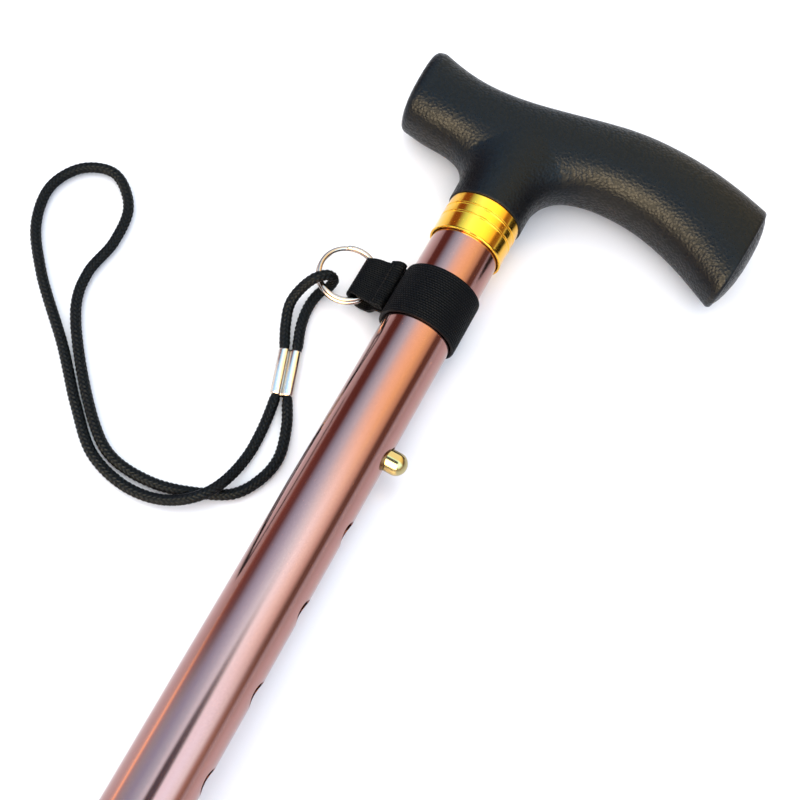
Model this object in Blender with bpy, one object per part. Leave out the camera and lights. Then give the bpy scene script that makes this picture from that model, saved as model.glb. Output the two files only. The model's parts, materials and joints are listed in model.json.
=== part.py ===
"""A single point walking cane with a T-shaped handle, a push-button height setting and a wrist cord.

The cane lies on its side on the floor. World axes: +Y runs up the shaft to the handle, +X is the side of the
handle's long arm and of the button, +Z is up, and the floor is z = 0.

The cane's own pieces are modelled upright, in the frame of the empty "cane": its +Z runs up the shaft from the
ground end of the rubber tip, its +X is the side of the long arm, and its -Y is the side that faces up when the
cane lies down. The empty lays the whole cane on the floor. The wrist cord and its ring are modelled as they lie.
"""

import math

import bmesh
import bpy
import numpy as np
from mathutils import Matrix, Vector

MM = 0.001

# Driving dimensions, in millimetres, along the shaft from the ground end
COLLAR_FOOT = 720.0  # lower edge of the collar
COLLAR_HEIGHT = 14.0
TUBE_RADIUS = 11.1  # outer tube, 22.2 mm (7/8 in)
TUBE_BORE = 9.9
INNER_RADIUS = 9.53  # inner tube, 19.05 mm (3/4 in)
INNER_BORE = 8.4
HOLE_PITCH = 25.4
HOLE_COUNT = 7
HOLE_RADIUS = 4.0
TOP_HOLE = COLLAR_FOOT - 71.5
OUTER_TUBE_END = 275.0  # lower end of the outer tube
INNER_TUBE_TOP = TOP_HOLE + 13.0
INNER_TUBE_END = 7.8
TIP_FLANGE_RADIUS = 17.5
TIP_HEIGHT = 50.0
HANDLE_HALF_THICKNESS = 12.5
GAP = 0.3  # clearance between neighbouring pieces
ROUND_SIDES = 32

# How the cane lies: the rim of the rubber tip and the side of the handle both touch the floor
HANDLE_REST = COLLAR_FOOT + 58.0
LAY_SLOPE = (TIP_FLANGE_RADIUS - HANDLE_HALF_THICKNESS) / HANDLE_REST
AXIS_X = -20.0  # the shaft's axis, so that the whole cane is centred on x = 0
GROUND_END_Y = -392.9  # so that it is centred on y = 0

# Handle outline, in millimetres from the shaft's axis and above the collar's lower edge
HANDLE_TOP = [(-36.0, 58.4), (-27, 56.0), (-18.5, 55.0), (-9, 55.6), (0, 57.3), (10, 60.0), (20, 62.8),
              (30, 65.0), (40, 65.9), (50, 65.8), (60, 64.8), (69, 63.2), (76.8, 61.2)]
NOSE_UNDER = [(-35.3, 30.4), (-30, 29.7), (-25, 29.6)]
TAIL_UNDER = [(34, 37.2), (42, 36.9), (51, 35.0), (60, 31.8), (68, 27.8), (74.2, 24.4)]
NECK_RADIUS = 12.4
NOSE_FILLET = {"centre": (-25.0, 19.0), "radii": (12.6, 10.6)}
TAIL_FILLET = {"centre": (34.0, 19.5), "radii": (-21.6, 17.7)}
SHOULDER = COLLAR_HEIGHT + GAP  # where the neck meets the collar
SPIGOT_RADIUS = 9.5
SPIGOT_LENGTH = 36.0
PIN_RADIUS = 2.0
PIN_HEIGHT = COLLAR_FOOT + 7.0

# Snap button
BUTTON_RADIUS = 3.5
BUTTON_REACH = 17.0  # from the shaft's axis to the top of its dome
BUTTON_SHOULDER = 7.2  # where its flange stops it, inside the inner tube

# Lock nut and its collet sleeve on the end of the outer tube
SLEEVE_TOP = OUTER_TUBE_END + 15.0
SLEEVE_STEP = OUTER_TUBE_END - GAP
SLEEVE_END = OUTER_TUBE_END - 15.0
NUT_TOP = OUTER_TUBE_END + 9.0
NUT_END = OUTER_TUBE_END - 19.0

# Wrist strap: webbing round the tube, its tab, and the ring in the tab's fold
STRAP_CENTRE = COLLAR_FOOT - 23.6
WEBBING_WIDTH = 18.0
WEBBING_THICKNESS = 1.2
BAND_RADIUS = TUBE_RADIUS + GAP + WEBBING_THICKNESS
TAB_ROOT = {"centre": COLLAR_FOOT - 21.3, "width": 16.4}
TAB_FOLD = {"centre": COLLAR_FOOT - 22.0, "width": 12.4}
TAB_LIFT = 4.5  # the tab's root, on the side of the band, is this much higher than the ring
RING_HEIGHT = 5.5  # middle of the ring above the floor
RING_CENTRE = (-28.6 + AXIS_X, TAB_FOLD["centre"] + GROUND_END_Y)
RING_RADIUS = 9.0  # to the middle of the wire
RING_WIRE = 0.75
RING_TURNS = 1.9

# Wrist cord: the points its middle runs through, as it lies, from inside the crimp, round the ring, back
# through the crimp, round the wrist loop and into the crimp again
CORD_RADIUS = 1.7
CORD_SQUEEZED = 0.9  # inside the crimp
CORD_ROUTE = [
    (-51.45, 267.8, 1.95), (-53.9, 274.8, 1.95), (-57.3, 281.6, 2.0), (-59.5, 288.2, 3.4), (-58.6, 293.1, 6.2),
    (-56.0, 297.3, 9.2), (-53.2, 300.5, 8.4), (-51.5, 301.3, 5.5), (-52.0, 299.8, 2.7), (-53.7, 296.9, 1.8),
    (-54.4, 291.6, 1.8), (-53.4, 284.7, 1.85), (-50.4, 276.5, 1.95), (-45.3, 261.7, 1.95), (-41.3, 254.0, 1.8),
    (-38.3, 244.0, 1.8), (-39.2, 236.5, 1.8), (-43.8, 228.1, 1.8), (-53.6, 222.7, 1.8), (-66.3, 219.0, 1.8),
    (-80.4, 219.9, 1.8), (-90.7, 226.5, 1.8), (-114.9, 255.0, 1.8), (-118.0, 266.5, 1.8), (-116.8, 279.4, 1.8),
    (-119.6, 292.3, 1.8), (-129.3, 299.9, 1.8), (-138.5, 296.6, 1.8), (-143.6, 286.5, 1.8), (-140.8, 273.5, 1.8),
    (-130.5, 260.0, 1.8), (-111.5, 242.4, 1.8), (-97.7, 228.1, 1.8), (-85.6, 217.8, 1.8), (-71.8, 214.2, 1.8),
    (-59.4, 216.4, 3.2), (-50.2, 223.8, 5.5), (-46.5, 239.5, 1.9), (-48.6, 259.9, 1.95), (-51.25, 267.2, 1.95),
]
CRIMP_LENGTH = 15.2
CRIMP_MIDDLE = (-49.6, 268.1)
CRIMP_HEADING = math.radians(108.8)  # direction of its barrels on the floor, towards the ring
CRIMP_SPACING = 3.5  # between the middles of its two barrels
CRIMP_BORE = 1.4
CRIMP_WALL = 0.45

MATERIALS = {
    "bronze_tube": ((0.36, 0.20, 0.15), 0.25, 1.0),
    "gold_collar": ((0.90, 0.60, 0.12), 0.2, 1.0),
    "black_grip": ((0.02, 0.022, 0.025), 0.5, 0.0),
    "steel": ((0.55, 0.55, 0.55), 0.35, 1.0),
    "brass_button": ((0.80, 0.58, 0.22), 0.2, 1.0),
    "black_nylon": ((0.03, 0.03, 0.03), 0.45, 0.0),
    "black_rubber": ((0.025, 0.025, 0.025), 0.8, 0.0),
    "black_webbing": ((0.02, 0.02, 0.02), 0.9, 0.0),
    "black_cord": ((0.015, 0.015, 0.018), 0.85, 0.0),
    "nickel": ((0.70, 0.68, 0.64), 0.15, 1.0),
}


def material(name):
    """The named finish, made once."""
    found = bpy.data.materials.get(name)
    if found:
        return found
    colour, roughness, metallic = MATERIALS[name]
    made = bpy.data.materials.new(name)
    made.use_nodes = True
    shader = made.node_tree.nodes["Principled BSDF"]
    shader.inputs["Base Color"].default_value = (*colour, 1.0)
    shader.inputs["Roughness"].default_value = roughness
    shader.inputs["Metallic"].default_value = metallic
    return made


def add_node(name, mesh_edit, finish, parent, origin=(0, 0, 0)):
    """One sub-part: a bmesh in millimetres in its parent's frame, given its origin, finish and parent."""
    bmesh.ops.remove_doubles(mesh_edit, verts=mesh_edit.verts, dist=1e-4)
    bmesh.ops.recalc_face_normals(mesh_edit, faces=mesh_edit.faces)
    bmesh.ops.translate(mesh_edit, verts=mesh_edit.verts, vec=-Vector(origin))
    bmesh.ops.scale(mesh_edit, verts=mesh_edit.verts, vec=(MM, MM, MM))
    mesh = bpy.data.meshes.new(name)
    mesh_edit.to_mesh(mesh)
    mesh_edit.free()
    mesh.shade_smooth()
    mesh.set_sharp_from_angle(angle=math.radians(35))
    node = bpy.data.objects.new(name, mesh)
    bpy.context.scene.collection.objects.link(node)
    node.location = Vector(origin) * MM
    node.parent = parent
    if finish:
        mesh.materials.append(material(finish))
    return node


def add_empty(name, parent=None):
    empty = bpy.data.objects.new(name, None)
    bpy.context.scene.collection.objects.link(empty)
    empty.parent = parent
    return empty


def smooth_curve(points, steps):
    """A centripetal Catmull-Rom curve through the points, with the given number of steps between neighbours."""
    points = np.asarray(points, float)
    before = 2 * points[:1] - points[1:2]
    after = 2 * points[-1:] - points[-2:-1]
    runs = np.diff(np.concatenate([before, points, after]), axis=0)
    gaps = np.sqrt(np.linalg.norm(runs, axis=1))[:, None]
    slopes = runs / gaps
    tangents = slopes[:-1] + slopes[1:] - (runs[:-1] + runs[1:]) / (gaps[:-1] + gaps[1:])
    start, end = points[:-1, None, :], points[1:, None, :]
    leave = (gaps[1:-1] * tangents[:-1])[:, None, :]
    arrive = (gaps[1:-1] * tangents[1:])[:, None, :]
    t = (np.arange(steps) / steps)[None, :, None]
    curve = ((2 * t**3 - 3 * t**2 + 1) * start + (t**3 - 2 * t**2 + t) * leave
             + (3 * t**2 - 2 * t**3) * end + (t**3 - t**2) * arrive)
    return np.concatenate([curve.reshape(-1, points.shape[1]), points[-1:]])


def spaced(curve, stride, turn):
    """Points along a dense curve, a stride or a turn apart, whichever comes first."""
    runs = np.diff(curve, axis=0)
    lengths = np.linalg.norm(runs, axis=1)
    heading = runs / lengths[:, None]
    bends = np.arccos(np.clip((heading[1:] * heading[:-1]).sum(1), -1, 1))
    cost = lengths / stride + np.append(bends, 0) / turn
    total = np.concatenate([[0], np.cumsum(cost)])
    wanted = np.linspace(0, total[-1], math.ceil(total[-1]) + 1)
    return np.stack([np.interp(wanted, total, curve[:, k]) for k in range(3)], -1)


def turned(profile, closed=True, sides=ROUND_SIDES):
    """A profile of (radius, height) points turned round the shaft's axis; an open one ends on the axis."""
    turning = bmesh.new()
    verts = [turning.verts.new((r, 0.0, z)) for r, z in profile]
    edges = [turning.edges.new(pair) for pair in zip(verts, verts[1:])]
    if closed:
        edges.append(turning.edges.new((verts[-1], verts[0])))
    bmesh.ops.spin(turning, geom=verts + edges, cent=(0, 0, 0), axis=(0, 0, 1), steps=sides,
                   angle=2 * math.pi, use_merge=True)
    bmesh.ops.remove_doubles(turning, verts=turning.verts, dist=1e-3)
    return turning


def rod(start, end, radius, sides=16):
    """A plain cylinder from one point to another."""
    start, end = Vector(start), Vector(end)
    along = end - start
    turn = along.to_track_quat("Z", "Y").to_matrix().to_4x4()
    shape = bmesh.new()
    bmesh.ops.create_cone(shape, cap_ends=True, segments=sides, radius1=radius, radius2=radius,
                          depth=along.length, matrix=Matrix.Translation((start + end) / 2) @ turn)
    return shape


def extruded(outline, low, high):
    """A flat (x, y) outline carried up the shaft from one height to another."""
    shape = bmesh.new()
    face = shape.faces.new([shape.verts.new((x, y, low)) for x, y in outline])
    raised = bmesh.ops.extrude_face_region(shape, geom=[face])["geom"]
    lifted = [v for v in raised if isinstance(v, bmesh.types.BMVert)]
    bmesh.ops.translate(shape, verts=lifted, vec=(0, 0, high - low))
    return shape


def cut(node, name, shape, parent):
    """Take a shape out of a node."""
    cutter = add_node(name, shape, None, parent)
    cutter.hide_render = True
    cutter.display_type = "WIRE"
    boolean = node.modifiers.new(name, "BOOLEAN")
    boolean.operation = "DIFFERENCE"
    boolean.object = cutter
    boolean.solver = "EXACT"


def grid_faces(shape, grid):
    """Quads over a grid of points (rows, columns, 3)."""
    rows, columns = grid.shape[:2]
    verts = [[shape.verts.new(point) for point in row] for row in grid.tolist()]
    for i in range(rows - 1):
        for j in range(columns - 1):
            shape.faces.new((verts[i][j], verts[i + 1][j], verts[i + 1][j + 1], verts[i][j + 1]))


# --- Handle -------------------------------------------------------------------------------------------------


def fillet_points(fillet, angles, squareness=2.2):
    """The hollow corner between neck and arm: a quarter superellipse, at the given angles from the neck."""
    (cx, cz), (a, b) = fillet["centre"], fillet["radii"]
    x = cx + a * np.cos(angles) ** (2 / squareness)
    z = cz + b * np.sin(angles) ** (2 / squareness)
    return np.stack([x, z], -1)


def points_at(curve, xs):
    """Points of a curve of rising x at the given x values."""
    dense = smooth_curve(curve, 8)
    return np.stack([xs, np.interp(xs, dense[:, 0], dense[:, 1])], -1)


def handle_sections():
    """Pairs of outline points and the spine point between them, along the arms and down the neck."""
    corner = math.radians(45)
    nose_angles = np.linspace(math.pi / 2, corner, 5)[1:]
    tail_angles = np.linspace(corner, math.pi / 2, 6)
    nose_x = np.linspace(NOSE_UNDER[0][0], NOSE_UNDER[-1][0], 3)
    tail_x = np.linspace(TAIL_UNDER[0][0], TAIL_UNDER[-1][0], 8)[1:]
    under_nose = np.concatenate([points_at(NOSE_UNDER, nose_x), fillet_points(NOSE_FILLET, nose_angles)])
    under_tail = np.concatenate([fillet_points(TAIL_FILLET, tail_angles), points_at(TAIL_UNDER, tail_x)])
    top_x = np.concatenate([
        np.linspace(HANDLE_TOP[0][0], NOSE_UNDER[-1][0], 3), np.linspace(NOSE_UNDER[-1][0], 0, 5)[1:],
        np.linspace(0, TAIL_UNDER[0][0], 6)[1:], np.linspace(TAIL_UNDER[0][0], HANDLE_TOP[-1][0], 8)[1:]])
    top = points_at(HANDLE_TOP, top_x)
    joint = len(under_nose) - 1
    # the underside as it would run with no neck, so that the arms' spine stays smooth over the neck
    plain = np.concatenate([under_nose[:3], under_tail[5:]])
    spine_x = np.concatenate([under_nose[:3, 0], top_x[3:joint + 5], under_tail[5:, 0]])
    plain_z = np.interp(spine_x, plain[:, 0], plain[:, 1])
    spine = np.stack([(top[:, 0] + spine_x) / 2, (top[:, 1] + plain_z) / 2], -1)
    # down the neck
    steps = np.linspace(0, 1, 7)[:, None]
    neck = spine[joint] * (1 - steps) + np.array([0.0, SHOULDER]) * steps
    sides = []
    for fillet, side in ((NOSE_FILLET, -1), (TAIL_FILLET, 1)):
        bend = fillet_points(fillet, np.linspace(corner, 0, 5))
        foot = np.array([[side * NECK_RADIUS, (bend[-1, 1] + SHOULDER) / 2], [side * NECK_RADIUS, SHOULDER]])
        sides.append(np.concatenate([bend, foot]))
    return top, under_nose, under_tail, spine, joint, neck, sides


def half_section(outline, spine, half_thickness, squareness):
    """Half of each section: from the spine on one face, over the outline point, to the spine on the other.

    Each is half a superellipse whose one half-axis runs from the spine to the outline point and whose other is
    the half thickness."""
    turn = np.radians(np.linspace(-90, 90, 13))[None, :]
    power = 2 / np.asarray(squareness)[:, None]
    reach = np.abs(np.cos(turn)) ** power
    reach[:, [0, -1]] = 0.0
    rise = np.sign(np.sin(turn)) * np.abs(np.sin(turn)) ** power
    flat = spine[:, None, :] + (outline - spine)[:, None, :] * reach[..., None]
    depth = -np.asarray(half_thickness)[:, None] * rise
    return np.stack([flat[..., 0], depth, flat[..., 1] + COLLAR_FOOT], -1)


def end_dome(shape, ring, outward, levels):
    """Close an arm's end: the section shrinks towards its middle while it moves outwards."""
    middle = ring.mean(0)
    rows = [middle + (ring - middle) * scale + np.array(outward) * reach for scale, reach in levels]
    rows.append(np.repeat((middle + np.array(outward) * levels[-1][1])[None], len(ring), 0))
    grid = np.stack(rows)
    grid_faces(shape, np.concatenate([grid, grid[:, :1]], 1))


def build_handle(cane):
    """The moulded T-shaped handle, with the spigot that goes into the tube and the hole for its pin."""
    top, under_nose, under_tail, spine, joint, neck, sides = handle_sections()
    stations = len(top)
    thickness = np.interp(np.arange(stations), [0, joint, stations - 4, stations - 1],
                          [11.6, HANDLE_HALF_THICKNESS, HANDLE_HALF_THICKNESS, 11.6])
    square = np.full(stations, 2.5)
    shape = bmesh.new()
    upper = half_section(top, spine, thickness, square)
    nose = half_section(under_nose, spine[:joint + 1], thickness[:joint + 1], square[:joint + 1])
    tail = half_section(under_tail, spine[joint:], thickness[joint:], square[joint:])
    for grid in (upper, nose, tail):
        grid_faces(shape, grid)
    neck_square = np.linspace(2.5, 2.0, len(neck))
    neck_thick = np.linspace(HANDLE_HALF_THICKNESS, NECK_RADIUS, len(neck))
    neck_halves = [half_section(side, neck, neck_thick, neck_square) for side in sides]
    for grid in neck_halves:
        grid_faces(shape, grid)
    nose_levels = [(1.0, 0.0), (0.985, 1.6), (0.94, 2.8), (0.86, 3.5), (0.7, 4.0), (0.4, 4.3)]
    tail_levels = [(1.0, 0.0), (0.985, 0.6), (0.955, 1.0), (0.8, 2.4), (0.55, 3.6), (0.28, 4.3)]
    end_dome(shape, np.concatenate([upper[0], nose[0][-2:0:-1]]), (-1, 0, 0), nose_levels)
    end_dome(shape, np.concatenate([upper[-1], tail[-1][-2:0:-1]]), (0.997, 0, -0.07), tail_levels)
    # shoulder and spigot: the neck's foot drawn in, carried down the tube and closed
    foot = np.concatenate([neck_halves[0][-1], neck_halves[1][-1][-2:0:-1]])
    centre = np.array([0.0, 0.0, COLLAR_FOOT + SHOULDER])
    spigot = [foot]
    for radius, drop in ((SPIGOT_RADIUS, 0), (SPIGOT_RADIUS, SPIGOT_LENGTH - 1), (SPIGOT_RADIUS - 1, SPIGOT_LENGTH)):
        spigot.append(centre + (foot - centre) * (radius / NECK_RADIUS) - np.array([0, 0, drop]))
    spigot.append(np.repeat((centre - np.array([0, 0, SPIGOT_LENGTH]))[None], len(foot), 0))
    grid = np.stack(spigot)
    grid_faces(shape, np.concatenate([grid, grid[:, :1]], 1))
    handle = add_node("handle_grip", shape, "black_grip", cane)
    reach = TUBE_RADIUS + 2
    hole = rod((0, -reach, PIN_HEIGHT), (0, reach, PIN_HEIGHT), PIN_RADIUS + GAP)
    cut(handle, "cut_handle_pin_hole", hole, cane)


# --- Shaft --------------------------------------------------------------------------------------------------


def build_collar(cane):
    """Thin gold sleeve over the top of the tube, with two fine grooves and a rolled lower lip."""
    inner, outer, lip, groove = TUBE_RADIUS + 0.2, 11.9, 12.0, 11.72
    marks = [COLLAR_HEIGHT - 4.0, COLLAR_HEIGHT - 7.3]
    profile = [(inner, 0), (lip - 0.15, 0), (lip, 0.3), (lip, 0.7), (outer, 1.0)]
    for height in sorted(marks):
        profile += [(outer, height - 0.35), (groove, height - 0.15), (groove, height + 0.15), (outer, height + 0.35)]
    profile += [(outer, COLLAR_HEIGHT - 0.2), (outer - 0.15, COLLAR_HEIGHT), (inner, COLLAR_HEIGHT)]
    add_node("collar", turned([(r, z + COLLAR_FOOT) for r, z in profile]), "gold_collar", cane)
    pin_half = TUBE_RADIUS - 0.1
    pin = rod((0, -pin_half, PIN_HEIGHT), (0, pin_half, PIN_HEIGHT), PIN_RADIUS)
    add_node("handle_pin", pin, "steel", cane)


def build_tubes(cane, sliding):
    """The outer tube with its row of holes, and the inner tube that slides in it."""
    tube_top = COLLAR_FOOT + COLLAR_HEIGHT - 0.2
    walls = [(TUBE_BORE, OUTER_TUBE_END), (TUBE_RADIUS, OUTER_TUBE_END), (TUBE_RADIUS, tube_top), (TUBE_BORE, tube_top)]
    outer = add_node("upper_tube", turned(walls), "bronze_tube", cane)
    for k in range(HOLE_COUNT):
        height = TOP_HOLE - k * HOLE_PITCH
        hole = rod((TUBE_BORE - 4, 0, height), (TUBE_RADIUS + 2, 0, height), HOLE_RADIUS)
        cut(outer, f"cut_setting_hole_{k + 1}", hole, cane)
    reach = TUBE_RADIUS + 2
    cut(outer, "cut_tube_pin_hole", rod((0, -reach, PIN_HEIGHT), (0, reach, PIN_HEIGHT), PIN_RADIUS + GAP), cane)
    walls = [(INNER_BORE, INNER_TUBE_END), (INNER_RADIUS, INNER_TUBE_END), (INNER_RADIUS, INNER_TUBE_TOP),
             (INNER_BORE, INNER_TUBE_TOP)]
    inner = add_node("lower_tube", turned(walls), "bronze_tube", sliding)
    hole = rod((INNER_BORE - 4, 0, TOP_HOLE), (INNER_RADIUS + 2, 0, TOP_HOLE), BUTTON_RADIUS + GAP)
    cut(inner, "cut_button_hole", hole, sliding)
    plug = [(0, INNER_TUBE_TOP - 8), (INNER_BORE - 0.8, INNER_TUBE_TOP - 8), (INNER_BORE - GAP, INNER_TUBE_TOP - 7),
            (INNER_BORE - GAP, INNER_TUBE_TOP + GAP), (TUBE_BORE - 0.25, INNER_TUBE_TOP + GAP),
            (TUBE_BORE - 0.25, INNER_TUBE_TOP + 2), (TUBE_BORE - 0.8, INNER_TUBE_TOP + 2.5), (0, INNER_TUBE_TOP + 2.5)]
    add_node("glide_plug", turned(plug, closed=False), "black_nylon", sliding)


def build_button(sliding, pressing):
    """The domed snap button, and the bent leaf spring that pushes it out through both tubes."""
    dome = BUTTON_RADIUS - 0.1
    flange = [(0, BUTTON_SHOULDER - 1.2), (4.3, BUTTON_SHOULDER - 1.2), (4.3, BUTTON_SHOULDER - 0.5),
              (BUTTON_RADIUS, BUTTON_SHOULDER - 0.5), (BUTTON_RADIUS, BUTTON_REACH - dome)]
    angles = np.radians(np.linspace(15, 90, 6))
    round_top = [(BUTTON_RADIUS * math.cos(a), BUTTON_REACH - dome + dome * math.sin(a)) for a in angles]
    profile = flange + round_top[:-1] + [(0, BUTTON_REACH)]
    shape = turned(profile, closed=False, sides=24)
    tip_over = Matrix.Translation((0, 0, TOP_HOLE)) @ Matrix.Rotation(math.pi / 2, 4, "Y")
    bmesh.ops.transform(shape, matrix=tip_over, verts=shape.verts)
    add_node("snap_button", shape, "brass_button", pressing, origin=(0, 0, TOP_HOLE))
    # a strip bent like a hairpin: one leg under the button, one against the far wall, the bend below
    leaf, width = 0.5, 5.0
    leg_in, leg_out, bend = BUTTON_SHOULDER - 1.6, -(INNER_BORE - 1.2), 40.0
    turn = np.radians(np.linspace(90, 270, 9))
    middle, radius = (leg_in + leg_out) / 2, (leg_in - leg_out) / 2
    path = [(leg_in, TOP_HOLE + 4.0)]
    path += [(middle + radius * math.sin(a), TOP_HOLE - bend + radius * math.cos(a)) for a in turn]
    path += [(leg_out, TOP_HOLE + 2.0)]
    path = np.array(path)
    along = np.gradient(path, axis=0)
    side = np.stack([along[:, 1], -along[:, 0]], -1) / np.linalg.norm(along, axis=1)[:, None] * leaf / 2
    outline = np.concatenate([path + side, (path - side)[::-1]])
    shape = extruded(outline.tolist(), -width / 2, width / 2)
    bmesh.ops.rotate(shape, verts=shape.verts, matrix=Matrix.Rotation(math.pi / 2, 3, "X"))
    add_node("button_spring", shape, "steel", sliding)


def build_lock_nut(cane, nut_axis):
    """A slit collet sleeve on the end of the outer tube, and the nut that squeezes it onto the inner tube."""
    inside, finger_bore = TUBE_RADIUS + GAP, INNER_RADIUS + GAP
    sleeve = [(inside, SLEEVE_STEP), (inside, SLEEVE_TOP), (12.4, SLEEVE_TOP), (12.9, SLEEVE_TOP - 0.5),
              (12.9, SLEEVE_STEP - 3), (11.9, SLEEVE_STEP - 5), (11.2, SLEEVE_END), (finger_bore, SLEEVE_END),
              (finger_bore, SLEEVE_STEP)]
    node = add_node("collet_sleeve", turned(sleeve[::-1]), "black_nylon", cane)
    for k in range(4):
        shape = bmesh.new()
        bmesh.ops.create_cube(shape, size=1.0)
        bmesh.ops.scale(shape, verts=shape.verts, vec=(8.0, 1.6, 12.0))
        bmesh.ops.translate(shape, verts=shape.verts, vec=(11.5, 0, SLEEVE_END + 4))
        turn = Matrix.Rotation(math.radians(45 + 90 * k), 3, "Z")
        bmesh.ops.rotate(shape, verts=shape.verts, matrix=turn)
        cut(node, f"cut_collet_slit_{k + 1}", shape, cane)
    bore = 13.25
    nut = [(bore, NUT_TOP), (14.4, NUT_TOP), (15.0, NUT_TOP - 0.8), (15.0, NUT_END + 6), (13.4, NUT_END + 1),
           (12.6, NUT_END), (finger_bore, NUT_END), (finger_bore, SLEEVE_END - 0.6), (11.7, SLEEVE_END - 0.6),
           (12.4, SLEEVE_STEP - 5), (bore, SLEEVE_STEP - 2.5)]
    add_node("lock_nut", turned(nut), "black_nylon", nut_axis)


def build_tip(sliding):
    """The rubber tip, and the steel disc in it that keeps the tube from punching through."""
    socket, floor = INNER_RADIUS + GAP, 6.0
    outside = [(12.4, TIP_HEIGHT), (13.2, TIP_HEIGHT - 1.2), (13.4, 24), (13.0, 20), (12.9, 14), (14.2, 9.5),
               (16.8, 6.5), (TIP_FLANGE_RADIUS, 5.0), (TIP_FLANGE_RADIUS, 1.0), (TIP_FLANGE_RADIUS - 0.8, 0)]
    sole = []
    for outer, inner in ((13.6, 12.4), (10.2, 9.0), (6.8, 5.6)):
        sole += [(outer, 0), (outer - 0.2, 0.9), (inner + 0.2, 0.9), (inner, 0)]
    inside = [(0, floor), (socket, floor), (socket, TIP_HEIGHT)]
    profile = inside + outside + sole + [(0, 0)]
    add_node("rubber_tip", turned(profile, closed=False), "black_rubber", sliding)
    disc = [(0, floor + GAP), (9.0, floor + GAP), (9.0, floor + GAP + 1.2), (0, floor + GAP + 1.2)]
    add_node("tip_washer", turned(disc, closed=False), "steel", sliding)


# --- Wrist strap --------------------------------------------------------------------------------------------


def shaft_height(along):
    """Height of the shaft's axis above the floor, this far up the cane."""
    return TIP_FLANGE_RADIUS - LAY_SLOPE * along


def build_strap(cane):
    """The elastic band round the tube, and the tab folded round the ring."""
    half = WEBBING_WIDTH / 2
    inner = TUBE_RADIUS + GAP
    band = [(inner, -half), (BAND_RADIUS - 0.3, -half), (BAND_RADIUS, -half + 0.3), (BAND_RADIUS, half - 0.3),
            (BAND_RADIUS - 0.3, half), (inner, half)]
    add_node("strap_band", turned([(r, z + STRAP_CENTRE) for r, z in band]), "black_webbing", cane)
    # Tab, seen along the shaft: the eye round the ring on the left, both layers sewn together on the right.
    # Its heights are from the middle of the ring; a cane y value is that height turned over.
    middle = RING_HEIGHT - shaft_height(TAB_FOLD["centre"])
    thick = WEBBING_THICKNESS
    eye_top = [(-17.0, 0.15), (-18.5, 1.9), (-19.6, 2.6), (-22.4, 2.6), (-23.4, 2.0), (-23.8, 1.0)]
    outer_top = [(-12.0, 1.1), (-13.8, 1.1), (-15.6, 1.1), (-17.5, 2.9), (-19.3, 2.6 + thick),
                 (-22.8, 2.6 + thick), (-24.4, 2.6), (-25.0, 1.2)]

    def both_sides(upper):
        """The upper half of a loop and its mirror image, raised towards the root; heights turned to cane y."""
        loop = upper + [(x, -up) for x, up in reversed(upper)]
        return [(x, -(up + middle + TAB_LIFT * min(max((x + 19.0) / 6.0, 0.0), 1.0))) for x, up in loop]

    outline = both_sides(outer_top)
    hole = both_sides(eye_top)
    shape = extruded(outline, -0.5, 0.5)
    for vert in shape.verts:
        share = min(max((-15.6 - vert.co.x) / (25.0 - 15.6), 0.0), 1.0)
        width = TAB_ROOT["width"] + (TAB_FOLD["width"] - TAB_ROOT["width"]) * share
        centre = TAB_ROOT["centre"] + (TAB_FOLD["centre"] - TAB_ROOT["centre"]) * share
        vert.co.z = centre + vert.co.z * width
    tab = add_node("strap_tab", shape, "black_webbing", cane)
    cut(tab, "cut_tab_eye", extruded(hole, STRAP_CENTRE - half - 1, STRAP_CENTRE + half + 3), cane)
    clearance = turned([(0, STRAP_CENTRE - 15), (BAND_RADIUS + GAP, STRAP_CENTRE - 15),
                        (BAND_RADIUS + GAP, STRAP_CENTRE + 15), (0, STRAP_CENTRE + 15)], closed=False)
    cut(tab, "cut_tab_root", clearance, cane)


def add_wire(name, points, radii, bevel, finish, parent):
    """A round wire or cord along points in millimetres, as a curve with filled ends."""
    curve = bpy.data.curves.new(name, "CURVE")
    curve.dimensions = "3D"
    curve.bevel_depth = bevel * MM
    curve.bevel_resolution = 2
    curve.use_fill_caps = True
    spline = curve.splines.new("POLY")
    spline.points.add(len(points) - 1)
    for point, place, radius in zip(spline.points, points, radii):
        point.co = (*(np.asarray(place) * MM), 1.0)
        point.radius = radius / bevel
    node = bpy.data.objects.new(name, curve)
    bpy.context.scene.collection.objects.link(node)
    node.parent = parent
    curve.materials.append(material(finish))


def ring_points(steps):
    """Just under two turns of wire: each turn lies flat, and a short slope takes the wire to the next one."""
    turn = np.linspace(0, RING_TURNS, steps)
    slope = np.clip((turn - RING_TURNS / 2) / 0.3 + 0.5, 0, 1)
    rise = (slope * slope * (3 - 2 * slope) - 0.5) * (2 * RING_WIRE + 0.25)
    angle = 2 * math.pi * turn + math.radians(153)
    x = RING_CENTRE[0] + RING_RADIUS * np.cos(angle)
    y = RING_CENTRE[1] + RING_RADIUS * np.sin(angle)
    return np.stack([x, y, RING_HEIGHT + rise], -1)


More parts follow.
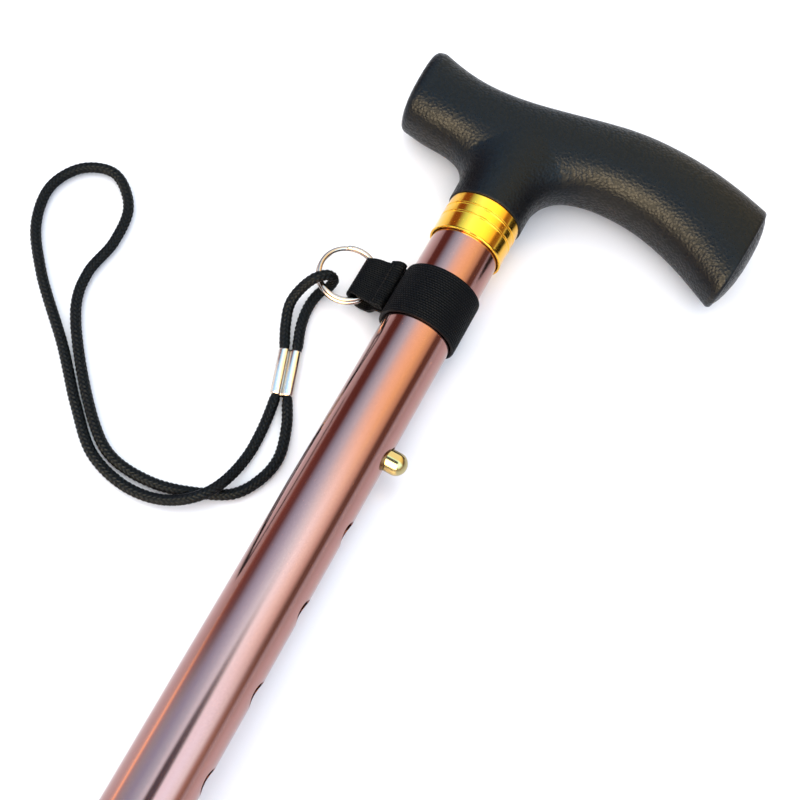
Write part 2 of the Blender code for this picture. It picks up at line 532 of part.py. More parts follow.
def build_wrist_cord(lying):
    """The split ring, the cord that passes through it, and the double-barrelled crimp that closes the cord."""
    ring = ring_points(64)
    add_wire("split_ring", ring, np.full(len(ring), RING_WIRE), RING_WIRE, "nickel", lying)
    route = spaced(smooth_curve(CORD_ROUTE, 12), stride=8.0, turn=math.radians(30))
    route[:, 2] = np.maximum(route[:, 2], CORD_RADIUS + 0.05)
    along = np.array([math.cos(CRIMP_HEADING), math.sin(CRIMP_HEADING)])
    from_crimp = np.abs((route[:, :2] - np.array(CRIMP_MIDDLE)) @ along) - CRIMP_LENGTH / 2
    beside = np.linalg.norm(route[:, :2] - np.array(CRIMP_MIDDLE), axis=1)
    free = np.clip((from_crimp - 0.8) / 3.0, 0, 1)
    free[beside > CRIMP_LENGTH] = 1.0
    radii = CORD_SQUEEZED + (CORD_RADIUS - CORD_SQUEEZED) * free
    add_wire("wrist_cord", route, radii, CORD_RADIUS, "black_cord", lying)
    middle = Vector((*CRIMP_MIDDLE, CORD_ROUTE[0][2]))
    reach = Vector((*along, 0)) * CRIMP_LENGTH / 2
    across = Vector((-along[1], along[0], 0)) * CRIMP_SPACING / 2
    radius = CRIMP_BORE + CRIMP_WALL
    crimp = add_node("cord_crimp", rod(middle - reach + across, middle + reach + across, radius), "nickel", lying)
    other = add_node("second_barrel", rod(middle - reach - across, middle + reach - across, radius), None, lying)
    other.hide_render = True
    other.display_type = "WIRE"
    union = crimp.modifiers.new("second barrel", "BOOLEAN")
    union.operation = "UNION"
    union.object = other
    union.solver = "EXACT"
    for k, side in enumerate((across, -across)):
        bore = rod(middle - reach * 1.2 + side, middle + reach * 1.2 + side, CRIMP_BORE)
        cut(crimp, f"cut_crimp_bore_{k + 1}", bore, lying)


# --- The whole cane -----------------------------------------------------------------------------------------


def build():
    for thing in list(bpy.data.objects):
        bpy.data.objects.remove(thing, do_unlink=True)
    cane = add_empty("cane")
    cane.rotation_euler = (-(math.pi / 2 + math.asin(LAY_SLOPE)), 0, 0)
    cane.location = Vector((AXIS_X, GROUND_END_Y, TIP_FLANGE_RADIUS)) * MM
    sliding = add_empty("height_slide", cane)
    pressing = add_empty("button_press", sliding)
    nut_axis = add_empty("lock_nut_turn", cane)
    lying = add_empty("wrist_cord_on_floor")
    build_handle(cane)
    build_collar(cane)
    build_tubes(cane, sliding)
    build_button(sliding, pressing)
    build_lock_nut(cane, nut_axis)
    build_tip(sliding)
    build_strap(cane)
    build_wrist_cord(lying)
    bpy.context.view_layer.update()


build()
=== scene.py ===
# %% [markdown]
# A walking cane lies on its side: a moulded T-shaped handle, a bronze tube that telescopes, a webbing strap
# with a split ring, and a wrist cord that lies on the floor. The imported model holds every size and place.
# This script loads it as a fixed frame and gives each piece the surface that the real one has. The pieces
# are surfaces worked out with numpy, because a cane is made of turned, drawn, moulded, woven and braided
# things, and each of those is a short formula.

# %% Load the frame
import json
import math

import bmesh
import bpy
import numpy as np
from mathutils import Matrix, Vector


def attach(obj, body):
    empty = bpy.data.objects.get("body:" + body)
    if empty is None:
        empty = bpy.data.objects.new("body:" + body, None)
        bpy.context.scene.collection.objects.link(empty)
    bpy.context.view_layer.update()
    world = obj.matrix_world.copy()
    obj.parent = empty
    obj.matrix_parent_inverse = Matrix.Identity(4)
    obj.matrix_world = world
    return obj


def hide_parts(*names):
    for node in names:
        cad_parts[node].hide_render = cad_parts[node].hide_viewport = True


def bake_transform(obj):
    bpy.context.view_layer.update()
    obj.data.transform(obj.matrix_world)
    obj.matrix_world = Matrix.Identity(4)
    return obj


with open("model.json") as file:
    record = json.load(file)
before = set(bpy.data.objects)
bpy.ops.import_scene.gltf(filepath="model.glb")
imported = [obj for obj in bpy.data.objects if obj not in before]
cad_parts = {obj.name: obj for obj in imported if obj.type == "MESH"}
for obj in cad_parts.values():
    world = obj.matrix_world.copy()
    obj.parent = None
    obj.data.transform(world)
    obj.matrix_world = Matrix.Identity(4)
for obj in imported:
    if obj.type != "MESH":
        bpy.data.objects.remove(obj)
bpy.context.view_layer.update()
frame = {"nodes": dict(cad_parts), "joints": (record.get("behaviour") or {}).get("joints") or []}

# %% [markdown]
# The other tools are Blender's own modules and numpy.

MM = 0.001

# %% [markdown]
# Most pieces are turned or drawn along the shaft, so they are easiest to draw in the cane's own axes: x
# towards the handle's long arm, y towards the side that faces up, z up the shaft from the ground end. The
# shaft's direction and a point on it come from the lock nut's joint, and a small function takes points from
# there to the world.

# %% The cane's own axes
joints = {joint["name"]: joint for joint in frame["joints"]}
UP_SHAFT = np.array(joints["lock_nut_turn"]["axis"])
FACE_UP = np.array([0.0, -UP_SHAFT[2], UP_SHAFT[1]])
NUT_MIDDLE = 265.0  # of the lock nut's joint, up the shaft from the ground end
GROUND_END = np.array(joints["lock_nut_turn"]["pos_m"]) - UP_SHAFT * NUT_MIDDLE * MM


def on_cane(points):
    """Points (x, y, z) in millimetres in the cane's axes, as world points in metres."""
    axes = np.stack([[1.0, 0.0, 0.0], FACE_UP, UP_SHAFT])
    return GROUND_END + (np.asarray(points, float) * MM) @ axes


print("ground end of the shaft:", np.round(GROUND_END, 4), "up the shaft:", np.round(UP_SHAFT, 4))

# %% [markdown]
# The view looks down on the cane from above its shaft, a little from the tip's side, with the handle at the upper
# right. The lens is a short telephoto. The camera is made first.

# %% Camera
camera = bpy.data.objects.new("camera", bpy.data.cameras.new("camera"))
bpy.context.scene.collection.objects.link(camera)
camera.data.lens = 58.84
camera.data.sensor_width = 36.0
camera.data.clip_start = 0.01
camera.location = (0.0108, 0.1375, 0.3726)
camera.rotation_euler = [math.radians(turn) for turn in (20.10, -6.48, 27.72)]
bpy.context.scene.camera = camera
print("camera", [round(v, 3) for v in camera.location])

# %% [markdown]
# A surface here is a grid of points. Quads join neighbours, and a grid may close on itself in either
# direction. Where a row shrinks to one point, merging doubles turns the quads there into triangles.

# %% Grids of points made into pieces


def grid_quads(rows, columns, first=0, close_rows=False, close_columns=False):
    """Quads between each point of a grid and its next neighbours, as indices that start at first."""
    i = np.arange(rows if close_rows else rows - 1)[:, None]
    j = np.arange(columns if close_columns else columns - 1)[None, :]
    ahead, beside = (i + 1) % rows, (j + 1) % columns
    corners = (i * columns + j, ahead * columns + j, ahead * columns + beside, i * columns + beside)
    return first + np.stack(corners, -1).reshape(-1, 4)


def add_piece(name, grids, material, body, replaces=(), sharp=40.0, relief=None):
    """One piece from a list of (points, quads), in world metres, welded where its grids meet. relief is a
    number for each point, 0 in a hollow and 1 on a crest, kept as an attribute for the finish to read."""
    start, points, quads = 0, [], []
    for grid_points, faces in grids:
        flat = np.asarray(grid_points).reshape(-1, 3)
        points.append(flat)
        quads.append(faces + start)
        start += len(flat)
    mesh = bpy.data.meshes.new(name)
    mesh.from_pydata(np.concatenate(points).tolist(), [], np.concatenate(quads).tolist())
    if relief is not None:
        layer = mesh.attributes.new("relief", "FLOAT", "POINT")
        layer.data.foreach_set("value", np.asarray(relief, np.float32).ravel())
    work = bmesh.new()
    work.from_mesh(mesh)
    bmesh.ops.remove_doubles(work, verts=work.verts, dist=2e-6)
    bmesh.ops.dissolve_degenerate(work, edges=work.edges, dist=1e-7)
    bmesh.ops.recalc_face_normals(work, faces=work.faces)
    work.to_mesh(mesh)
    work.free()
    mesh.shade_smooth()
    mesh.set_sharp_from_angle(angle=math.radians(sharp))
    mesh.materials.append(material)
    thing = bpy.data.objects.new(name, mesh)
    bpy.context.scene.collection.objects.link(thing)
    if body:
        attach(thing, body)
    if replaces:
        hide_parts(*replaces)
    print(name, len(mesh.polygons), "faces")
    return thing


# %% [markdown]
# A finish is a Principled shader with a few texture nodes in front of it. Numbers that are the same all over are
# set on the shader. What varies, such as grain, reads Object coordinates, which are metres in the cane's frame.
# Woven pieces also keep how deep each point lies, so that their hollows can be painted darker than their crests,
# as shade.

# %% Helpers for finishes


def new_finish(name, colour, roughness, metallic=0.0):
    """A material with its Principled shader set, and its node tree."""
    material = bpy.data.materials.new(name)
    material.use_nodes = True
    material.diffuse_color = (*colour, 1.0)
    shader = material.node_tree.nodes["Principled BSDF"]
    shader.inputs["Base Color"].default_value = (*colour, 1.0)
    shader.inputs["Roughness"].default_value = roughness
    shader.inputs["Metallic"].default_value = metallic
    return material, material.node_tree, shader


def node(tree, kind, inputs=None, **settings):
    """A node with its settings, and its inputs given as values or as the sockets to link."""
    made = tree.nodes.new(kind)
    for key, value in settings.items():
        setattr(made, key, value)
    for key, value in (inputs or {}).items():
        if isinstance(value, bpy.types.NodeSocket):
            tree.links.new(value, made.inputs[key])
        else:
            made.inputs[key].default_value = value
    return made


def place(tree, scale=(1, 1, 1), turn=(0, 0, 0)):
    """Object coordinates, stretched and turned."""
    inputs = {"Vector": node(tree, "ShaderNodeTexCoord").outputs["Object"], "Scale": scale, "Rotation": turn}
    return node(tree, "ShaderNodeMapping", inputs).outputs["Vector"]


def ramp(tree, factor, stops):
    """A colour ramp through (position, colour) stops; a plain number is a grey."""
    made = node(tree, "ShaderNodeValToRGB", {"Fac": factor})
    elements = made.color_ramp.elements
    while len(elements) < len(stops):
        elements.new(0.5)
    for element, (position, colour) in zip(elements, stops):
        element.position = position
        element.color = (colour,) * 3 + (1.0,) if isinstance(colour, (int, float)) else (*colour, 1.0)
    return made.outputs["Color"]


def bump(tree, shader, height, distance, below=None):
    """Bump from a height texture; distance is the height of white over black in metres."""
    inputs = {"Height": height, "Distance": distance, "Strength": 1.0}
    if below is not None:
        inputs["Normal"] = below
    made = node(tree, "ShaderNodeBump", inputs)
    tree.links.new(made.outputs["Normal"], shader.inputs["Normal"])
    return made.outputs["Normal"]


def math_node(tree, operation, first, second=0.0):
    """The result of one Math node; each input is a number or a socket."""
    return node(tree, "ShaderNodeMath", {0: first, 1: second}, operation=operation).outputs[0]


# %% [markdown]
# The wrist cord is a round braid, 3.4 mm thick, folded in half over the split ring and closed by a crimp.
# It lies on the floor at its full length and crosses itself once. Its line is a smooth curve through the
# points listed below: out of the crimp's left barrel, over the ring's wire and back under it, through the
# right barrel, round the loop and into the left barrel again. A centripetal Catmull-Rom curve is used
# because it neither overshoots nor makes loops where the points are unevenly spaced.

# %% The cord's line
CORD_ROUTE = [  # millimetres in the world's axes, heights above the floor
    (-51.45, 267.8, 1.95), (-53.9, 274.8, 1.95), (-57.3, 281.6, 2.0), (-59.5, 288.2, 3.4), (-58.6, 293.1, 6.2),
    (-56.0, 297.3, 9.2), (-53.2, 300.5, 8.4), (-51.5, 301.3, 5.5), (-52.0, 299.8, 2.7), (-53.7, 296.9, 1.8),
    (-54.4, 291.6, 1.8), (-53.4, 284.7, 1.85), (-50.4, 276.5, 1.95), (-45.3, 261.7, 1.95), (-41.3, 254.0, 1.8),
    (-38.3, 244.0, 1.8), (-39.2, 236.5, 1.8), (-43.8, 228.1, 1.8), (-53.6, 222.7, 1.8), (-66.3, 219.0, 1.8),
    (-80.4, 219.9, 1.8), (-90.7, 226.5, 1.8), (-114.9, 255.0, 1.8), (-118.0, 266.5, 1.8), (-116.8, 279.4, 1.8),
    (-119.6, 292.3, 1.8), (-129.3, 299.9, 1.8), (-138.5, 296.6, 1.8), (-143.6, 286.5, 1.8), (-140.8, 273.5, 1.8),
    (-130.5, 260.0, 1.8), (-111.5, 242.4, 1.8), (-97.7, 228.1, 1.8), (-85.6, 217.8, 1.8), (-71.8, 214.2, 1.8),
    (-59.4, 216.4, 3.2), (-50.2, 223.8, 5.5), (-46.5, 239.5, 1.9), (-48.6, 259.9, 1.95), (-51.25, 267.2, 1.95),
]
CORD_RADIUS = 1.7
CRIMP_MIDDLE = np.array([-49.6, 268.1])
CRIMP_HEADING = math.radians(108.8)
CRIMP_LENGTH = 15.2
CRIMP_SPACING = 3.5


def smooth_curve(points, steps):
    """A centripetal Catmull-Rom curve: each stretch is a cubic whose slopes weigh its neighbours by the root of
    their distance."""
    points = np.asarray(points, float)
    before = 2 * points[:1] - points[1:2]
    after = 2 * points[-1:] - points[-2:-1]
    runs = np.diff(np.concatenate([before, points, after]), axis=0)
    gaps = np.sqrt(np.linalg.norm(runs, axis=1))[:, None]
    slopes = runs / gaps
    tangents = slopes[:-1] + slopes[1:] - (runs[:-1] + runs[1:]) / (gaps[:-1] + gaps[1:])
    start, end = points[:-1, None, :], points[1:, None, :]
    leave = (gaps[1:-1] * tangents[:-1])[:, None, :]
    arrive = (gaps[1:-1] * tangents[1:])[:, None, :]
    t = (np.arange(steps) / steps)[None, :, None]
    curve = ((2 * t**3 - 3 * t**2 + 1) * start + (t**3 - 2 * t**2 + t) * leave
             + (3 * t**2 - 2 * t**3) * end + (t**3 - t**2) * arrive)
    return np.concatenate([curve.reshape(-1, points.shape[1]), points[-1:]])


def distance_along(curve):
    """The distance from a line's start to each of its points."""
    return np.concatenate([[0.0], np.cumsum(np.linalg.norm(np.diff(curve, axis=0), axis=1))])


def evenly(curve, step):
    """The curve again, with points a step apart."""
    along = distance_along(curve)
    wanted = np.linspace(0, along[-1], int(round(along[-1] / step)) + 1)
    return np.stack([np.interp(wanted, along, curve[:, k]) for k in range(curve.shape[1])], -1)


cord_line = evenly(smooth_curve(CORD_ROUTE, 24), 0.29)
cord_line[:, 2] = np.maximum(cord_line[:, 2], CORD_RADIUS + 0.05)

# %% [markdown]
# A tube is swept along a line with a frame that never twists: each frame is the last one, turned by the
# least turn that follows the line. The braid then goes round the cord as two families of strands, one
# climbing each way. Where the strands cross, each passes over two and under two. The height of the surface
# is the strand that is on top: round across its width, and arched along the stretch where it lies on top.

# %% Sweep and braid


def untwisted_frames(line):
    """Tangent and two side directions at each point of a line, carried along it without twist."""
    tangents = np.gradient(line, axis=0)
    tangents /= np.linalg.norm(tangents, axis=1)[:, None]
    sides = np.empty_like(line)
    sides[0] = np.cross(tangents[0], [0.0, 0.0, 1.0])
    for k in range(1, len(line)):
        sides[k] = sides[k - 1] - tangents[k] * (sides[k - 1] @ tangents[k])
        sides[k] /= np.linalg.norm(sides[k])
    return tangents, sides, np.cross(tangents, sides)


def swept(line, radii, turns):
    """Points at line + radius (side cos a + other side sin a), and round caps that close both ends."""
    tangents, sides, others = untwisted_frames(line)
    ring = np.cos(turns)[..., None] * sides[:, None] + np.sin(turns)[..., None] * others[:, None]
    body = line[:, None] + radii[..., None] * ring
    ends = []
    for end, way in ((0, -1.0), (-1, 1.0)):
        bow = np.radians([30.0, 60.0, 90.0])[:, None, None]
        radius = radii[end][None, :, None]
        cap = line[end] + radius * ring[end] * np.cos(bow) + way * 0.4 * radius * np.sin(bow) * tangents[end]
        ends.append(cap[::-1] if end == 0 else cap)
    return np.concatenate([ends[0], body, ends[1]])


BRAID_STRANDS = 8  # in each family
BRAID_PITCH = 1.5  # millimetres along the cord from one strand to the next
BRAID_HEIGHT = 0.52


def braid_height(along, turns):
    """0 to 1 over the cord: the arched strand on top at each place of a two-over, two-under braid."""
    first = BRAID_STRANDS * turns / (2 * math.pi) + along / BRAID_PITCH
    other = BRAID_STRANDS * turns / (2 * math.pi) - along / BRAID_PITCH
    cell = (np.floor(first) + np.floor(other)) % 4
    in_first, in_other = first % 1.0, other % 1.0
    across = np.where(cell < 2, in_first, in_other)
    float_place = np.where(cell < 2, (cell + in_other) / 2, (cell - 2 + in_first) / 2)
    round_over = 1 - np.abs(2 * across - 1) ** 2.2
    arch = np.sin(math.pi * np.clip(float_place, 0, 1)) ** 0.5
    return round_over ** 0.6 * (0.35 + 0.65 * arch)


# %% [markdown]
# The cord is black polyester. Its strands glint a little on their crests, and the hollows between them are
# painted almost black, as shade. Fine fibres roughen the strands, as a noise of about a fifth of a millimetre.

# %% The cord's finish
cord_black, tree, shader = new_finish("braided polyester", (0.005, 0.005, 0.006), 0.42)
shader.inputs["Specular IOR Level"].default_value = 0.13
shader.inputs["Specular Tint"].default_value = (0.6, 0.8, 1.0, 1.0)
fibres = node(tree, "ShaderNodeTexNoise", {"Vector": place(tree), "Scale": 5200.0, "Detail": 2.0})
bump(tree, shader, fibres.outputs["Fac"], 0.00006)
crest = node(tree, "ShaderNodeAttribute", attribute_name="relief").outputs["Fac"]
# The colour is painted shade: the braid's hollows are darker and the strands' crests lighter, with the fibres'
# noise as a random tone.
fibre_tone_and_hollow_shade = ramp(tree, math_node(tree, "MULTIPLY", crest, fibres.outputs["Fac"]),
            [(0.1, (0.0001, 0.0001, 0.00015)), (0.55, (0.0028, 0.0028, 0.0034))])
tree.links.new(fibre_tone_and_hollow_shade, shader.inputs["Base Color"])
tree.links.new(ramp(tree, crest, [(0.3, 0.95), (0.8, 0.32)]), shader.inputs["Roughness"])

# %% The cord
ROUND = 48
along = distance_along(cord_line)[:, None]
turns = np.linspace(0, 2 * math.pi, ROUND, endpoint=False)[None, :]
heading = np.array([math.cos(CRIMP_HEADING), math.sin(CRIMP_HEADING)])
off_crimp = cord_line[:, :2] - CRIMP_MIDDLE
beyond = np.abs(off_crimp @ heading) - CRIMP_LENGTH / 2
beyond[np.linalg.norm(off_crimp, axis=1) > CRIMP_LENGTH] = CRIMP_LENGTH
squeeze = 0.74 + 0.26 * np.clip((beyond + 0.4) / 2.2, 0, 1) ** 0.7
strand = braid_height(along, turns)
radii = (CORD_RADIUS + 0.04 - BRAID_HEIGHT * (1 - strand)) * squeeze[:, None]
cord_points = swept(cord_line, radii, turns)
strand = np.concatenate([strand[:1].repeat(3, 0), strand, strand[-1:].repeat(3, 0)])
cord_piece = add_piece(
    "braided_wrist_cord",
    [(cord_points * MM, grid_quads(*cord_points.shape[:2], close_columns=True))],
    cord_black, "ring", ["wrist_cord"], sharp=180, relief=strand)

# %% [markdown]
# A small double barrel of nickel-plated brass is squeezed over the cord where the two strands run side by
# side. Its section is two circles that overlap a little, which leaves the groove between the barrels. The
# section is carried along the barrels' direction, drawn in at both mouths, and carried back inside as the
# bore.

# %% The crimp
BARREL_RADIUS = 1.88
nickel, tree, shader = new_finish("nickel plate", (0.56, 0.525, 0.49), 0.16, 1.0)
scuffs = node(tree, "ShaderNodeTexNoise", {"Vector": place(tree), "Scale": 900.0, "Detail": 4.0})
tree.links.new(ramp(tree, scuffs.outputs["Fac"], [(0.35, 0.13), (0.75, 0.26)]), shader.inputs["Roughness"])
bump(tree, shader, scuffs.outputs["Fac"], 0.000006)


def double_circle(radius, count=40):
    """The outline of two overlapping circles, a crimp's spacing apart, as (across, up) points."""
    half = CRIMP_SPACING / 2
    open_angle = math.acos(min(half / radius, 1.0))
    a = np.linspace(open_angle, 2 * math.pi - open_angle, count)
    left = np.stack([-half + radius * np.cos(a), radius * np.sin(a)], -1)
    return np.concatenate([left, -left])


mouth = [(0.0, -0.62), (0.12, -0.32), (0.36, -0.1), (0.75, 0.0)]  # (along, radius less than the barrel's)
outside = mouth + [(CRIMP_LENGTH / 2, 0.03)] + [(CRIMP_LENGTH - a, r) for a, r in mouth[::-1]]
stations = outside + [(CRIMP_LENGTH - 1.0, -0.62), (1.0, -0.62)]
beside = np.array([-heading[1], heading[0], 0.0])
straight_up = np.array([0.0, 0.0, 1.0])
rows = []
for at, change in stations:
    outline = double_circle(BARREL_RADIUS + max(change, -0.12))
    outline = outline * (1 + min(change + 0.12, 0.0) / BARREL_RADIUS)
    base = np.append(CRIMP_MIDDLE + heading * (at - CRIMP_LENGTH / 2), CORD_ROUTE[0][2])
    rows.append(base + outline[:, :1] * beside + outline[:, 1:] * straight_up)
rows = np.stack(rows)
crimp_piece = add_piece(
    "double_crimp", [(rows * MM, grid_quads(*rows.shape[:2], close_rows=True, close_columns=True))],
    nickel, "ring", ["cord_crimp"], sharp=50)

# %% [markdown]
# The split ring is spring wire wound for a little under two turns, so that it can be opened and threaded.
# The turns lie against each other, and one short slope takes the wire from the lower turn to the upper one.
# It is a tube along that coil, which narrows a little towards its two ends and closes in a low dome.

# %% The split ring
RING_RADIUS = 9.0
RING_WIRE = 0.75
RING_TURNS = 1.9
RING_POINTS = 420
RING_SLOPE = 0.3  # of a turn, in which the wire climbs from the lower turn to the upper one
RING_START = math.radians(153)  # where the wire's lower end lies
RING_MIDDLE = np.array([-48.6, 305.1, 5.5])
ring_wire, tree, shader = new_finish("plated spring wire", (0.36, 0.305, 0.27), 0.14, 1.0)
drawn = node(tree, "ShaderNodeTexNoise", {"Vector": place(tree), "Scale": 1500.0, "Detail": 3.0})
tree.links.new(ramp(tree, drawn.outputs["Fac"], [(0.35, 0.1), (0.75, 0.24)]), shader.inputs["Roughness"])
bump(tree, shader, drawn.outputs["Fac"], 0.000006)
turn = np.linspace(0, RING_TURNS, RING_POINTS)
climb = np.clip((turn - RING_TURNS / 2) / RING_SLOPE + 0.5, 0, 1)
climb = climb * climb * (3 - 2 * climb) - 0.5
angle = 2 * math.pi * turn + RING_START
ring_radius = RING_RADIUS + 0.16 - 0.3 * (climb + 0.5)
ring_line = RING_MIDDLE + np.stack(
    [ring_radius * np.cos(angle), ring_radius * np.sin(angle), climb * (2 * RING_WIRE + 0.04)], -1)
turns = np.linspace(0, 2 * math.pi, 24, endpoint=False)[None, :]
from_end = np.minimum(np.arange(RING_POINTS), np.arange(RING_POINTS)[::-1])
blunt = np.minimum(1, 0.9 + 0.1 * from_end / 3)[:, None]
ring_points = swept(ring_line, RING_WIRE * 1.03 * blunt * np.ones_like(turns), turns)
add_piece(
    "split_key_ring", [(ring_points * MM, grid_quads(*ring_points.shape[:2], close_columns=True))],
    ring_wire, "ring", ["split_ring"], sharp=50)
print("ring, mm:", np.round(ring_points.min((0, 1)), 1), np.round(ring_points.max((0, 1)), 1))

# %% [markdown]
# The handle is one moulding: a short nose, a long arm that droops to a flat end, and a neck that grows out
# of the arms with a hollow corner on each side. Its outline is drawn once, as seen from the side, and the
# spine runs halfway between the upper and the lower outline. Each section goes from the spine on one face,
# over the outline, to the spine on the other face, as half a superellipse: its one half-axis reaches from
# the spine to the outline, and its other is half the handle's thickness. Sections above, below the nose,
# below the tail and down the neck share their edges, so the welded surface is smooth.

# %% The handle's outline
COLLAR_FOOT = 720.0  # up the shaft
COLLAR_HEIGHT = 14.0
HANDLE_HALF_THICKNESS = 12.5
END_HALF_THICKNESS = 11.6
ARM_SQUARENESS = 2.5
HANDLE_TOP = [(-36.0, 58.4), (-27, 56.0), (-18.5, 55.0), (-9, 55.6), (0, 57.3), (10, 60.0), (20, 62.8),
              (30, 65.0), (40, 65.9), (50, 65.8), (60, 64.8), (69, 63.2), (76.8, 61.2)]
NOSE_UNDER = [(-35.3, 30.4), (-30, 29.7), (-25, 29.6)]
TAIL_UNDER = [(34, 37.2), (42, 36.9), (51, 35.0), (60, 31.8), (68, 27.8), (74.2, 24.4)]
NECK_RADIUS = 12.4
NECK_FOOT = COLLAR_HEIGHT + 0.15
SPIGOT_RADIUS = 9.5
SPIGOT_LENGTH = 36.0
NOSE_CORNER = {"centre": (-25.0, 19.0), "radii": (12.6, 10.6)}
TAIL_CORNER = {"centre": (34.0, 19.5), "radii": (-21.6, 17.7)}
FINE = 5  # sections for each coarse one


def corner_points(corner, angles, squareness=2.2):
    """The hollow corner: x = cx + a cos(t)^(2/n), z = cz + b sin(t)^(2/n), a quarter of a superellipse."""
    (cx, cz), (a, b) = corner["centre"], corner["radii"]
    cos, sin = np.clip(np.cos(angles), 0, 1), np.clip(np.sin(angles), 0, 1)
    return np.stack([cx + a * cos ** (2 / squareness), cz + b * sin ** (2 / squareness)], -1)


def outline_at(points, xs):
    """Points of an outline of rising x at the given x values."""
    dense = smooth_curve(points, 16)
    return np.stack([xs, np.interp(xs, dense[:, 0], dense[:, 1])], -1)


def finer(points, steps):
    """Rows between the given rows, on a smooth curve through each column."""
    return smooth_curve(points, steps)


def half_sections(outline, spine, half_thickness, squareness, count=41):
    """Rows of section points, from one face of the spine over the outline to the other face."""
    turn = np.linspace(-math.pi / 2, math.pi / 2, count)[None, :]
    power = 2 / squareness[:, None]
    reach = np.abs(np.cos(turn)) ** power
    reach[:, [0, -1]] = 0.0
    rise = np.sign(np.sin(turn)) * np.abs(np.sin(turn)) ** power
    flat = spine[:, None, :] + (outline - spine)[:, None, :] * reach[..., None]
    return np.stack([flat[..., 0], half_thickness[:, None] * rise, flat[..., 1] + COLLAR_FOOT], -1)


corner = math.radians(45)
nose_angles = np.linspace(math.pi / 2, corner, 5)[1:]
tail_angles = np.linspace(corner, math.pi / 2, 6)
nose_x = np.linspace(NOSE_UNDER[0][0], NOSE_UNDER[-1][0], 3)
tail_x = np.linspace(TAIL_UNDER[0][0], TAIL_UNDER[-1][0], 8)[1:]
under_nose = np.concatenate([outline_at(NOSE_UNDER, nose_x), corner_points(NOSE_CORNER, nose_angles)])
under_tail = np.concatenate([corner_points(TAIL_CORNER, tail_angles), outline_at(TAIL_UNDER, tail_x)])
top_x = np.concatenate([
    np.linspace(HANDLE_TOP[0][0], NOSE_UNDER[-1][0], 3), np.linspace(NOSE_UNDER[-1][0], 0, 5)[1:],
    np.linspace(0, TAIL_UNDER[0][0], 6)[1:], np.linspace(TAIL_UNDER[0][0], HANDLE_TOP[-1][0], 8)[1:]])
over = outline_at(HANDLE_TOP, top_x)
meet = len(under_nose) - 1  # the section where the neck's outlines join the arms'
plain = np.concatenate([under_nose[:3], under_tail[5:]])  # the underside as it would run without a neck
spine_x = np.concatenate([under_nose[:3, 0], top_x[3:meet + 5], under_tail[5:, 0]])
plain_z = np.interp(spine_x, plain[:, 0], plain[:, 1])
spine = np.stack([(over[:, 0] + spine_x) / 2, (over[:, 1] + plain_z) / 2], -1)
print("handle: sections", len(over), "spine", np.round(spine[[0, meet, -1]], 1).tolist())

# %% [markdown]
# The ends are closed by the section itself, which shrinks towards its middle while it moves outwards. The
# nose's end is a soft cushion. The tail's end is a crowned face inside a fine ridge, as a moulding has
# where the end of the tool meets its side. The neck's foot ends in a small shoulder on the collar.

# %% The handle's surface


def arm_end(section, outward, levels):
    """Rows of a closed section, shrunk by each level's scale and moved outwards by its reach."""
    middle = section.mean(0)
    rows = [middle + (section - middle) * scale + np.array(outward) * reach for scale, reach in levels]
    return np.stack(rows + [np.repeat((middle + np.array(outward) * levels[-1][1])[None], len(section), 0)])


coarse = len(over)
thickness = np.interp(np.arange(coarse), [0, meet, coarse - 4, coarse - 1],
                      [END_HALF_THICKNESS, HANDLE_HALF_THICKNESS, HANDLE_HALF_THICKNESS, END_HALF_THICKNESS])
fine_meet = meet * FINE
over, spine = finer(over, FINE), finer(spine, FINE)
thickness = np.interp(np.arange(len(over)) / FINE, np.arange(coarse), thickness)
square = np.full(len(over), ARM_SQUARENESS)
under_nose, under_tail = finer(under_nose, FINE), finer(under_tail, FINE)
upper = half_sections(over, spine, thickness, square)
nose = half_sections(under_nose, spine[:fine_meet + 1], thickness[:fine_meet + 1], square[:fine_meet + 1])
tail = half_sections(under_tail, spine[fine_meet:], thickness[fine_meet:], square[fine_meet:])
down = np.linspace(0, 1, 31)
neck_spine = spine[fine_meet] * (1 - down[:, None]) + np.array([0.0, NECK_FOOT]) * down[:, None]
neck_sides = []
for hollow, side in ((NOSE_CORNER, -1), (TAIL_CORNER, 1)):
    bend = corner_points(hollow, np.linspace(corner, 0, 21))
    foot = np.linspace(bend[-1, 1], NECK_FOOT, 11)[1:]
    neck_sides.append(np.concatenate([bend, np.stack([np.full(10, side * NECK_RADIUS), foot], -1)]))
neck_thick = np.interp(down, [0, 1], [HANDLE_HALF_THICKNESS, NECK_RADIUS])
neck = [half_sections(side, neck_spine, neck_thick, np.linspace(ARM_SQUARENESS, 2.0, 31))
        for side in neck_sides]
soft_end = [(1.0, 0.0), (0.995, 0.9), (0.98, 1.8), (0.95, 2.6), (0.9, 3.2), (0.82, 3.65), (0.7, 3.95),
            (0.45, 4.2), (0.2, 4.3)]
flat_end = [(1.0, 0.0), (0.996, 0.5), (0.984, 1.0), (0.966, 1.35), (0.946, 1.5), (0.928, 1.46), (0.912, 1.55),
            (0.88, 1.85), (0.8, 2.5), (0.65, 3.3), (0.45, 3.95), (0.25, 4.25), (0.1, 4.3)]
nose_end = arm_end(np.concatenate([upper[0], nose[0][-2:0:-1]]), (-1, 0, 0), soft_end)
tail_end = arm_end(np.concatenate([upper[-1], tail[-1][-2:0:-1]]), (0.997, 0, -0.07), flat_end)
foot = np.concatenate([neck[0][-1], neck[1][-1][-2:0:-1]])
foot_middle = np.array([0.0, 0.0, COLLAR_FOOT + NECK_FOOT])
spigot = [(NECK_RADIUS - 0.1, 0.1), (SPIGOT_RADIUS, 0.1), (SPIGOT_RADIUS, SPIGOT_LENGTH - 1),
          (SPIGOT_RADIUS - 1, SPIGOT_LENGTH), (0.0, SPIGOT_LENGTH)]  # (radius, drop below the neck's foot)
